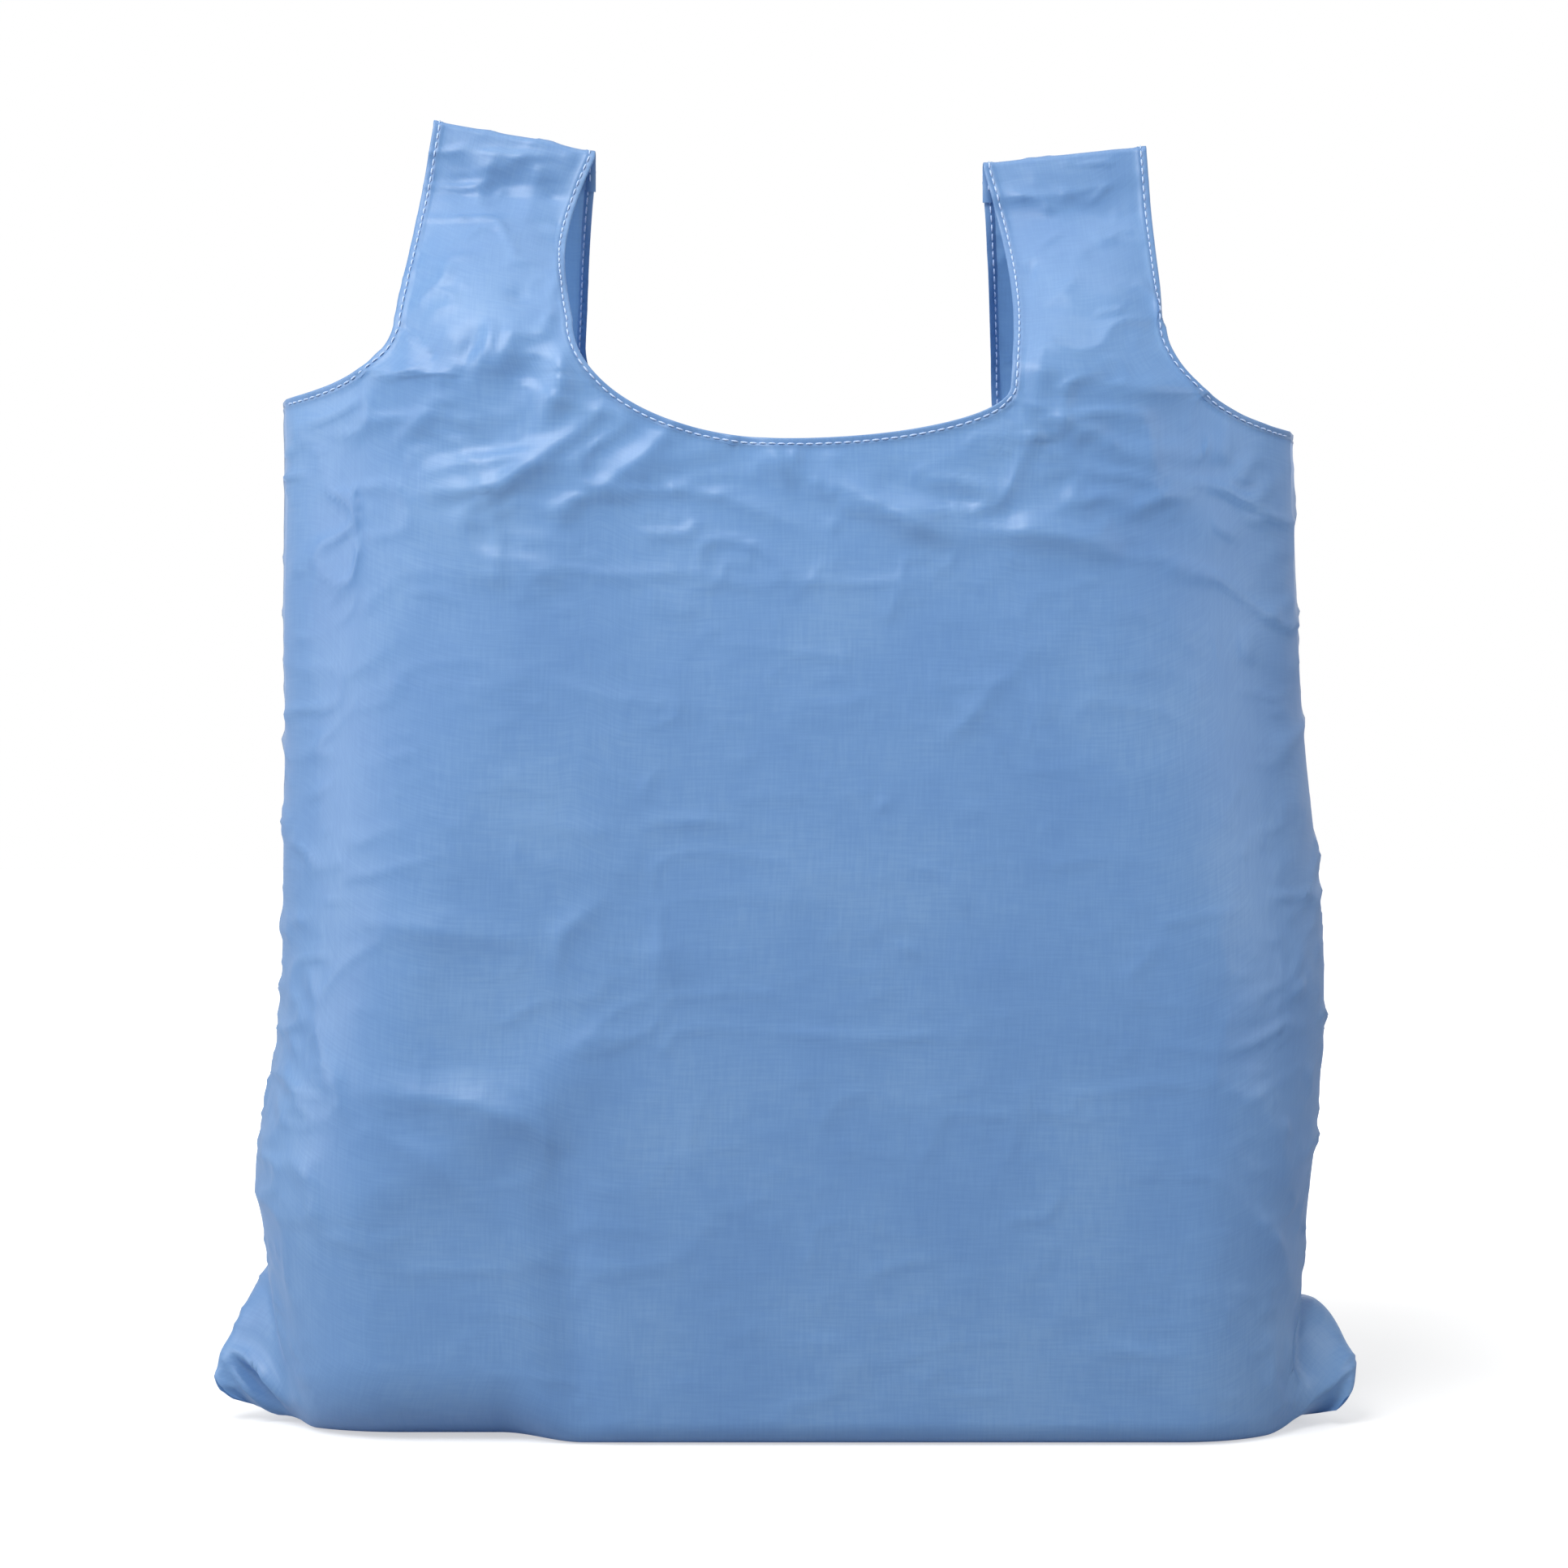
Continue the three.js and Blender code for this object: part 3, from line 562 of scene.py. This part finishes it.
def alongChain(chain, places):  # points at walked distances along a chain
    walked = np.concatenate([[0], np.cumsum(np.linalg.norm(np.diff(chain[:, :3], axis=0), axis=1))])
    return np.stack([np.interp(places, walked, column) for column in chain.T], axis=-1)


def chainLength(chain):
    return float(np.linalg.norm(np.diff(chain[:, :3], axis=0), axis=1).sum())


def quadsOf(index):  # the cells of a grid of vertex numbers
    corners = (index[:-1, :-1], index[:-1, 1:], index[1:, 1:], index[1:, :-1])
    return np.stack(corners, axis=-1).reshape(-1, 4)


def vertexNormals(points, quads):  # each is the sum of its cells' diagonals crossed
    a, b, c, d = (points[quads[:, k]] for k in range(4))
    face = np.cross(c - a, d - b)
    total = np.zeros_like(points)
    for k in range(4):
        np.add.at(total, quads[:, k], face)
    return total / np.maximum(np.linalg.norm(total, axis=1, keepdims=True), 1e-12)


def walk(grid, axis):  # distances walked along a grid, from its first row or column
    steps = np.linalg.norm(np.diff(grid, axis=axis), axis=-1)
    start = np.zeros_like(np.take(steps, [0], axis=axis))
    return np.concatenate([start, np.cumsum(steps, axis=axis)], axis=axis)


# One panel as welded vertices and quads: the body, then both strap halves on its border row. The flat place
# of a point is the distance walked to it along its row and its column.
def buildPanel(facing, folds):
    body = bodyGrid(facing, folds)
    rows, columns = body.shape[:2]
    bodyIndex = np.arange(rows * columns).reshape(rows, columns)
    across, up = walk(body, 1), walk(body, 0)
    across -= across[:, columns // 2][:, None]
    points, quads, straps = [body.reshape(-1, 3)], [quadsOf(bodyIndex)], {}
    flat = [np.stack([across, up], axis=-1).reshape(-1, 2)]
    arm, count = grain["armhole"], rows * columns
    feet = {-1: bodyIndex[-1, arm:arm + strapColumns + 1],
            1: bodyIndex[-1, columns - arm - strapColumns - 1:columns - arm][::-1]}
    for sign in (-1, 1):
        strap = strapGrid(facing, sign)
        index = np.arange(strap[..., 0].size).reshape(strap.shape[:2]) + count
        straps[sign] = np.concatenate([feet[sign][None, :], index])
        foot = flat[0][feet[sign]]
        climb = walk(np.concatenate([points[0][feet[sign]][None], strap]), 0)[1:]
        unrolled = np.stack([foot[None, :, 0] + 0 * climb, foot[None, :, 1] + climb], axis=-1)
        flat.append(unrolled.reshape(-1, 2))
        points.append(strap.reshape(-1, 3))
        quads.append(quadsOf(straps[sign] if sign < 0 else straps[sign][:, ::-1]))
        count += index.size
    points, quads, flat = np.concatenate(points), np.concatenate(quads), np.concatenate(flat)
    if facing > 0:
        quads = quads[:, ::-1]
    between = slice(arm + strapColumns, columns - arm - strapColumns)
    mouth = bodyIndex[-1, between]
    rims = [
        np.concatenate([straps[-1][:0:-1, -1], mouth, straps[1][1:, -1]]),
        np.concatenate([bodyIndex[-1, :arm], straps[-1][:, 0]]),
        np.concatenate([bodyIndex[-1, columns - arm:][::-1], straps[1][:, 0]]),
    ]
    inset = hem["stitchLine"]
    sewn = bodyIndex[-1 - inset]
    lines = [
        np.concatenate([straps[-1][:0:-1, -1 - inset], sewn[between], straps[1][1:, -1 - inset]]),
        np.concatenate([sewn[1:arm], straps[-1][1:, inset]]),
        np.concatenate([sewn[columns - arm:-1][::-1], straps[1][1:, inset]]),
    ]
    return {"points": points, "quads": quads, "flat": flat, "body": bodyIndex, "straps": straps,
            "rims": rims, "lines": lines, "facing": facing}


# Raises the cloth along its normals by creases, crumples and the hem, and sinks it at the stitch line.
def finishPanel(panel):
    points = panel["points"]
    chains = [points[rim] for rim in panel["rims"]]
    close = np.concatenate([alongChain(chain, np.arange(0, chainLength(chain), 0.8)) for chain in chains])
    near = distanceTo(points, close)
    firm = mix(0.4, 1, smooth((near - 1) / 20))  # the hems crumple less
    height = crinkleHeight(points) * firm
    if panel["facing"] < 0:
        height = height + creaseHeight(frontCreases, points) * (points[:, 1] < -1)
    else:  # the back hangs much the same way, the other way round and above the ears only
        swapped = creaseHeight(frontCreases, points * (-1, 1, 1))
        height = height + 0.8 * swapped * smooth((points[:, 2] - 60) / 30) * (points[:, 1] > 1)
    height = height + hem["rise"] * (1 - smooth((near - hem["width"]) / hem["step"]))
    height = height - hem["dimple"] * np.exp(-(((near - hem["stitchInset"]) / hem["dimpleWidth"]) ** 2))
    panel["points"] = points + vertexNormals(points, panel["quads"]) * height[:, None]
    panel["normals"] = vertexNormals(panel["points"], panel["quads"])


# The hem is the panel's own edge turned in: a small round at the rim, then back along the inside.
def turnHems(panel):
    for rim, side in zip(panel["rims"], (1, 1, -1)):
        points, normals = panel["points"][rim], panel["normals"][rim]
        away = -side * panel["facing"] * np.cross(normals, np.gradient(points, axis=0))
        away /= np.linalg.norm(away, axis=1, keepdims=True)
        rows, count = [rim], len(panel["points"])
        for out, down in hem["turn"]:
            rows.append(np.arange(count, count + len(rim)))
            count += len(rim)
            panel["points"] = np.concatenate([panel["points"], points + away * out - normals * down])
            panel["flat"] = np.concatenate([panel["flat"], panel["flat"][rim] + [0, out]])
        cells = quadsOf(np.stack(rows))
        cells = cells if side * panel["facing"] < 0 else cells[:, ::-1]
        panel["quads"] = np.concatenate([panel["quads"], cells])


# The allowances: strips from the side seams inwards and from the bottom seam upwards, short of the ears.
def addAllowances(panel):
    points, body, facing = panel["points"], panel["body"], panel["facing"]
    first = grain["base"] + grain["bend"] + grain["aboveBend"]
    flat = body[0][points[body[0], 2] < bag["halfCloth"] + 0.4]  # where the bottom row lies on the floor
    panel["allowances"] = {}
    for name, seam, move in (
        ("left", body[first:, 0], (bag["seamAllowance"], 0, 0)),
        ("right", body[first:, -1][::-1], (-bag["seamAllowance"], 0, 0)),
        ("bottom", flat[::-1], (0, 0, bag["seamAllowance"])),
    ):
        edge = panel["points"][seam] + np.array(move)
        edge[:, 1] = facing * bag["edgeGap"]
        index = np.arange(len(edge)) + len(panel["points"])
        cells = quadsOf(np.stack([index, seam], axis=1))
        panel["points"] = np.concatenate([panel["points"], edge])
        panel["flat"] = np.concatenate([panel["flat"], panel["flat"][seam] + [bag["seamAllowance"], 0]])
        panel["quads"] = np.concatenate([panel["quads"], cells if facing < 0 else cells[:, ::-1]])
        panel["allowances"][name] = edge


def meshObject(name, points, faces):  # points in the formulas' millimetres, faces as lists of numbers
    mesh = bpy.data.meshes.new(name)
    mesh.from_pydata(((np.asarray(points) - bag["centre"]) * mm).tolist(), [], faces)
    mesh.polygons.foreach_set("use_smooth", np.full(len(mesh.polygons), True))
    mesh.update()
    made = bpy.data.objects.new(name, mesh)
    bpy.context.collection.objects.link(made)
    return made


def addUv(made, places):  # a place on the flat cloth for each vertex, in metres
    layer = made.data.uv_layers.new(name="cloth")
    corners = np.empty(len(made.data.loops), int)
    made.data.loops.foreach_get("vertex_index", corners)
    layer.data.foreach_set("uv", (places[corners] * mm).ravel())


# Adds a node with its settings; links maps a socket's name or number to the output that feeds it.
def node(tree, kind, settings=None, values=None, links=None):
    made = tree.nodes.new(kind)
    for key, value in (settings or {}).items():
        setattr(made, key, value)
    for key, value in (values or {}).items():
        made.inputs[key].default_value = value
    for key, source in (links or {}).items():
        tree.links.new(source, made.inputs[key])
    return made


def colour(code):  # sRGB hex to the linear colour of a socket
    parts = np.array([int(code[k:k + 2], 16) for k in (1, 3, 5)]) / 255
    linear = np.where(parts <= 0.04045, parts / 12.92, ((parts + 0.055) / 1.055) ** 2.4)
    return (*linear.tolist(), 1)


# Plain-woven polyester taffeta, dyed sky blue: thin enough to let light through, with a soft silky sheen.
# Real threads lie 0.2 mm apart, too fine to show, so the slubs are drawn 0.9 mm across and 14 mm long.
# The clouds are the wash of lighter and deeper dye, 60 mm across.
taffeta = {
    "colour": "#6B94C3",
    "deep": "#648DBE",
    "light": "#769DC8",
    "through": "#6F9ACD",
    "throughShare": 0.28,
    "roughness": 0.42,
    "gloss": 0.6,
    "sheen": 0.42,
    "sheenSpread": 0.45,
    "sheenTint": "#C4D8F4",
    "slub": 0.9,
    "slubLength": 14,
    "slubTone": 0.12,
    "slubDepth": 0.1,
    "cloud": 60,
}


def taffetaMaterial():
    material = bpy.data.materials.new("polyesterTaffetaWoven")
    material.use_nodes = True
    tree = material.node_tree
    tree.nodes.clear()
    place = node(tree, "ShaderNodeUVMap", {"uv_map": "cloth"})
    solid = node(tree, "ShaderNodeTexCoord")
    slubs = []
    grainSizes = (taffeta["slub"], taffeta["slubLength"])
    for across, along in (grainSizes, grainSizes[::-1]):
        scale = (1 / (across * mm), 1 / (along * mm), 1)
        stretched = node(tree, "ShaderNodeVectorMath", {"operation": "MULTIPLY"}, {1: scale},
                         {0: place.outputs[0]})
        slubs.append(node(tree, "ShaderNodeTexNoise", values={"Scale": 1, "Detail": 2, "Roughness": 0.6},
                          links={"Vector": stretched.outputs[0]}))
    weave = node(tree, "ShaderNodeMath", {"operation": "ADD"},
                 links={0: slubs[0].outputs[0], 1: slubs[1].outputs[0]})
    cloud = node(tree, "ShaderNodeTexNoise", values={"Scale": 1 / (taffeta["cloud"] * mm), "Detail": 3},
                 links={"Vector": solid.outputs["Object"]})
    tone = node(tree, "ShaderNodeMapRange",
                values={"From Min": 0.8, "From Max": 1.2,
                        "To Min": -taffeta["slubTone"], "To Max": taffeta["slubTone"]},
                links={"Value": weave.outputs[0]})
    mixed = node(tree, "ShaderNodeMath", {"operation": "ADD"},
                 links={0: cloud.outputs[0], 1: tone.outputs[0]})
    ramp = node(tree, "ShaderNodeValToRGB", links={0: mixed.outputs[0]})
    ramp.color_ramp.elements[0].position = 0.25
    ramp.color_ramp.elements[0].color = colour(taffeta["deep"])
    ramp.color_ramp.elements[1].position = 0.75
    ramp.color_ramp.elements[1].color = colour(taffeta["light"])
    middle = ramp.color_ramp.elements.new(0.5)
    middle.color = colour(taffeta["colour"])
    bump = node(tree, "ShaderNodeBump", values={"Strength": 0.25, "Distance": taffeta["slubDepth"] * mm},
                links={"Height": weave.outputs[0]})
    surface = node(tree, "ShaderNodeBsdfPrincipled",
                   values={"Roughness": taffeta["roughness"], "IOR": 1.5,
                           "Specular IOR Level": taffeta["gloss"], "Sheen Weight": taffeta["sheen"],
                           "Sheen Roughness": taffeta["sheenSpread"],
                           "Sheen Tint": colour(taffeta["sheenTint"])},
                   links={"Base Color": ramp.outputs[0], "Normal": bump.outputs[0]})
    through = node(tree, "ShaderNodeBsdfTranslucent", values={"Color": colour(taffeta["through"])},
                   links={"Normal": bump.outputs[0]})
    both = node(tree, "ShaderNodeMixShader", values={0: taffeta["throughShare"]},
                links={1: surface.outputs[0], 2: through.outputs[0]})
    node(tree, "ShaderNodeOutputMaterial", links={0: both.outputs[0]})
    return material


# Spun polyester sewing thread, paler than the cloth: matt, with the twist showing as slanting ribs whose
# grooves are painted darker, a painted shade.
# A stitch sinks at its ends and stands proud in its middle; "lift" raises it on the outer side (1) and on
# the turned-in side (-1) of a hem. Lengths are in millimetres.
thread = {
    "colour": "#BCD0EE",
    "paintedGrooveShade": "#9DB7E0",
    "roughness": 0.6,
    "sheen": 0.3,
    "twist": 0.45,
    "twistDepth": 0.1,
    "radius": 0.31,
    "sides": 6,
    "rings": 7,
    "stitch": 2.7,
    "gap": 0.7,
    "sink": 0.3,
    "stand": 0.14,
    "lift": {1: 0.3, -1: 0.75},
}


def threadMaterial():
    material = bpy.data.materials.new("polyesterThreadSpun")
    material.use_nodes = True
    tree = material.node_tree
    tree.nodes.clear()
    solid = node(tree, "ShaderNodeTexCoord")
    twist = node(tree, "ShaderNodeTexWave", {"wave_type": "BANDS", "bands_direction": "DIAGONAL"},
                 {"Scale": 0.3 / (thread["twist"] * mm), "Distortion": 1.5},
                 {"Vector": solid.outputs["Object"]})
    # The ramp follows the ribs' bump: the grooves take the darker colour as painted shade, the crests the
    # thread's own colour.
    ramp = node(tree, "ShaderNodeValToRGB", links={0: twist.outputs[0]})
    ramp.color_ramp.elements[0].color = colour(thread["paintedGrooveShade"])
    ramp.color_ramp.elements[1].color = colour(thread["colour"])
    bump = node(tree, "ShaderNodeBump", values={"Strength": 0.4, "Distance": thread["twistDepth"] * mm},
                links={"Height": twist.outputs[0]})
    surface = node(tree, "ShaderNodeBsdfPrincipled",
                   values={"Roughness": thread["roughness"], "Sheen Weight": thread["sheen"]},
                   links={"Base Color": ramp.outputs[0], "Normal": bump.outputs[0]})
    node(tree, "ShaderNodeOutputMaterial", links={0: surface.outputs[0]})
    return material


cloth, yarn = taffetaMaterial(), threadMaterial()
print("materials made")


# Each stitch is a small bar along the line, of rings that swell towards its middle. A row is made once for
# each of the given sides.
def stitchBars(line, normals, sides):
    rings, sidesRound = thread["rings"], thread["sides"]
    pitch = thread["stitch"] + thread["gap"]
    line = alongChain(np.concatenate([line, normals], axis=1), np.arange(0, chainLength(line), 0.3))
    starts = np.arange(pitch, chainLength(line) - pitch, pitch)
    bars = []
    for side in sides:
        t = np.linspace(0, 1, rings)
        walked = starts[:, None] + t * thread["stitch"]
        spots = alongChain(line, walked.ravel()).reshape(len(starts), rings, 6)
        up = side * spots[..., 3:] / np.linalg.norm(spots[..., 3:], axis=-1, keepdims=True)
        run = np.gradient(spots[..., :3], axis=1)
        run /= np.linalg.norm(run, axis=-1, keepdims=True)
        aside = np.cross(run, up)
        hump = np.sin(np.pi * t) ** 0.6
        proud = mix(-thread["sink"], thread["stand"], hump) + thread["lift"][side]
        centre = spots[..., :3] + up * proud[None, :, None]
        radius = (thread["radius"] * mix(0.45, 1, hump))[None, :, None, None]
        angle = np.arange(sidesRound) / sidesRound * 2 * np.pi
        around = (np.cos(angle)[None, None, :, None] * aside[:, :, None, :]
                  + 0.8 * np.sin(angle)[None, None, :, None] * up[:, :, None, :])
        bars.append(centre[:, :, None, :] + radius * around)
    bars = np.concatenate(bars)
    index = np.arange(bars[..., 0].size).reshape(bars.shape[:3])
    shifted = np.roll(index, -1, axis=2)
    quads = np.stack([index[:, :-1], shifted[:, :-1], shifted[:, 1:], index[:, 1:]], axis=-1).reshape(-1, 4)
    caps = np.concatenate([index[:, 0][:, ::-1], index[:, -1]])
    return bars.reshape(-1, 3), quads.tolist() + caps.tolist()


# Overlocking: one thread wound round the joined edges of the allowances, worked as a flat coil. "Cover" is
# how wide it lies on them, and "over" how far it stands past their edge, in millimetres.
overlock = {"pitch": 2.6, "steps": 16, "cover": 4, "over": 0.4, "depth": 0.75, "radius": 0.2, "sides": 5}


def overlockCoil(edge, inward):
    steps, sides = overlock["steps"], overlock["sides"]
    line = alongChain(edge, np.arange(0, chainLength(edge), overlock["pitch"] / steps))
    angle = np.arange(len(line)) / steps * 2 * np.pi
    run = np.gradient(line, axis=0)
    run /= np.linalg.norm(run, axis=1, keepdims=True)
    inward = np.asarray(inward, float) + 0 * line
    depth = np.array([0, 1, 0]) + 0 * line
    reach = overlock["cover"] / 2
    covered = reach - overlock["over"] - reach * np.cos(angle)
    centre = (line * np.array([1, 0, 1]) + inward * covered[:, None]
              + depth * (overlock["depth"] * np.sin(angle))[:, None])
    along = np.gradient(centre, axis=0)
    along /= np.linalg.norm(along, axis=1, keepdims=True)
    first = np.cross(along, run)
    first /= np.linalg.norm(first, axis=1, keepdims=True)
    second = np.cross(along, first)
    around = np.arange(sides) / sides * 2 * np.pi
    turned = (np.cos(around)[None, :, None] * first[:, None, :]
              + np.sin(around)[None, :, None] * second[:, None, :])
    rings = centre[:, None, :] + overlock["radius"] * turned
    index = np.arange(len(line) * sides).reshape(len(line), sides)
    shifted = np.roll(index, -1, axis=1)
    quads = np.stack([index[:-1], index[1:], shifted[1:], shifted[:-1]], axis=-1).reshape(-1, 4)
    return rings.reshape(-1, 3), quads.tolist() + [index[0].tolist(), index[-1][::-1].tolist()]


def dressed(made, material, slot, *nodes):
    made.data.materials.append(material)
    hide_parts(*nodes)
    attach(made, "root")


panels = {}
for name, facing, folds in (("front", -1, frontFolds), ("back", 1, backFolds)):
    panel = buildPanel(facing, folds)
    finishPanel(panel)
    turnHems(panel)
    addAllowances(panel)
    panels[name] = panel
    print(name, "panel", len(panel["points"]), "points", len(panel["quads"]), "quads")

for name, panel in panels.items():
    made = meshObject(name + "Cloth", panel["points"], panel["quads"].tolist())
    addUv(made, panel["flat"])
    dressed(made, cloth, "cloth", name + "_panel")
    for line, part in zip(panel["lines"], ("mouth", "left_armhole", "right_armhole")):
        points, faces = stitchBars(panel["points"][line], panel["normals"][line], (1, -1))
        made = meshObject(name + part.title().replace("_", "") + "Stitches", points, faces)
        dressed(made, yarn, "thread", f"{name}_{part}_stitching")

# Two rows across each lap, short of its hems; the rows count from the lap's end.
front, inset = panels["front"], hem["stitchLine"]
for name, sign in (("left", -1), ("right", 1)):
    rows = [front["straps"][sign][-k, inset:-inset] for k in (3, 6)]
    seams = [stitchBars(front["points"][row], front["normals"][row], (1,)) for row in rows]
    points = np.concatenate([seam[0] for seam in seams])
    faces = seams[0][1] + [[k + len(seams[0][0]) for k in face] for face in seams[1][1]]
    made = meshObject(name + "HandleSeamStitches", points, faces)
    dressed(made, yarn, "thread", name + "_handle_seam_stitching")
for name, inward in (("left", (-1, 0, 0)), ("right", (1, 0, 0)), ("bottom", (0, 0, -1))):
    points, faces = overlockCoil(front["allowances"][name], inward)
    dressed(meshObject(name + "SeamOverlock", points, faces), yarn, "thread", name + "_seam_overlock")
print("threads made")

# A pale floor that fades to white away from the bag, so that it keeps the shadow and shows no horizon.
studio = {"world": 0.27, "floor": 0.55, "fadeFrom": 0.3, "fadeTo": 1.0, "halfFloor": 8}

# Soft boxes: watts, width and height, place and the height they aim at, in metres. The key stands high at
# the left and lights the crests of the creases.
lamps = {
    "key": (46, (1.1, 1.1), (-0.8, -1.4, 1.9), 0.25),
    "side": (22, (1.2, 1.4), (-2.0, -0.7, 0.8), 0.25),
    "fill": (14, (1.4, 1.4), (2.0, -1.1, 0.9), 0.25),
    "top": (10, (1.6, 1.0), (0, -0.1, 2.0), 0.2),
    "back": (9, (1.6, 1.2), (0.2, 1.8, 1.0), 0.3),
}


def makeFloor():
    mesh = bpy.data.meshes.new("floor")
    half = studio["halfFloor"]
    corners = [(-half, -half, 0), (half, -half, 0), (half, half, 0), (-half, half, 0)]
    mesh.from_pydata(corners, [], [(0, 1, 2, 3)])
    floor = bpy.data.objects.new("floor", mesh)
    bpy.context.collection.objects.link(floor)
    material = bpy.data.materials.new("paperFloor")
    material.use_nodes = True
    tree = material.node_tree
    tree.nodes.clear()
    solid = node(tree, "ShaderNodeTexCoord")
    away = node(tree, "ShaderNodeVectorMath", {"operation": "LENGTH"}, links={0: solid.outputs["Object"]})
    glow = node(tree, "ShaderNodeMapRange",
                values={"From Min": studio["fadeFrom"], "From Max": studio["fadeTo"],
                        "To Min": studio["floor"], "To Max": 1.0},
                links={"Value": away.outputs["Value"]})
    ray = node(tree, "ShaderNodeLightPath")
    seen = node(tree, "ShaderNodeMath", {"operation": "MULTIPLY"},
                links={0: glow.outputs[0], 1: ray.outputs["Is Camera Ray"]})
    paper = node(tree, "ShaderNodeBsdfDiffuse", values={"Color": (0.5, 0.5, 0.5, 1)})
    light = node(tree, "ShaderNodeEmission", links={"Strength": seen.outputs[0]})
    both = node(tree, "ShaderNodeAddShader", links={0: paper.outputs[0], 1: light.outputs[0]})
    node(tree, "ShaderNodeOutputMaterial", links={0: both.outputs[0]})
    mesh.materials.append(material)


def makeWorld():
    world = bpy.data.worlds.new("studio")
    bpy.context.scene.world = world
    world.use_nodes = True
    tree = world.node_tree
    tree.nodes.clear()
    ray = node(tree, "ShaderNodeLightPath")
    seen = node(tree, "ShaderNodeMath", {"operation": "MAXIMUM"},
                links={0: ray.outputs["Is Camera Ray"], 1: ray.outputs["Is Glossy Ray"]})
    seen = node(tree, "ShaderNodeMath", {"operation": "MAXIMUM"},
                links={0: seen.outputs[0], 1: ray.outputs["Is Transmission Ray"]})
    level = node(tree, "ShaderNodeMapRange", values={"To Min": studio["world"], "To Max": 1.0},
                 links={"Value": seen.outputs[0]})
    sky = node(tree, "ShaderNodeBackground", values={"Color": (1, 1, 1, 1)},
               links={"Strength": level.outputs[0]})
    node(tree, "ShaderNodeOutputWorld", links={0: sky.outputs[0]})


def makeLamp(name, power, size, place, aimHeight):
    data = bpy.data.lights.new(name, "AREA")
    data.energy = power
    data.shape = "RECTANGLE"
    data.size, data.size_y = size
    lamp = bpy.data.objects.new(name, data)
    lamp.location = place
    lamp.rotation_euler = (Vector((0, 0, aimHeight)) - Vector(place)).to_track_quat("-Z", "Y").to_euler()
    bpy.context.collection.objects.link(lamp)


makeFloor()
makeWorld()
for name, (power, size, place, aimHeight) in lamps.items():
    makeLamp(name + "Softbox", power, size, place, aimHeight)
bpy.context.scene.view_settings.view_transform = "Standard"
print("studio lit")
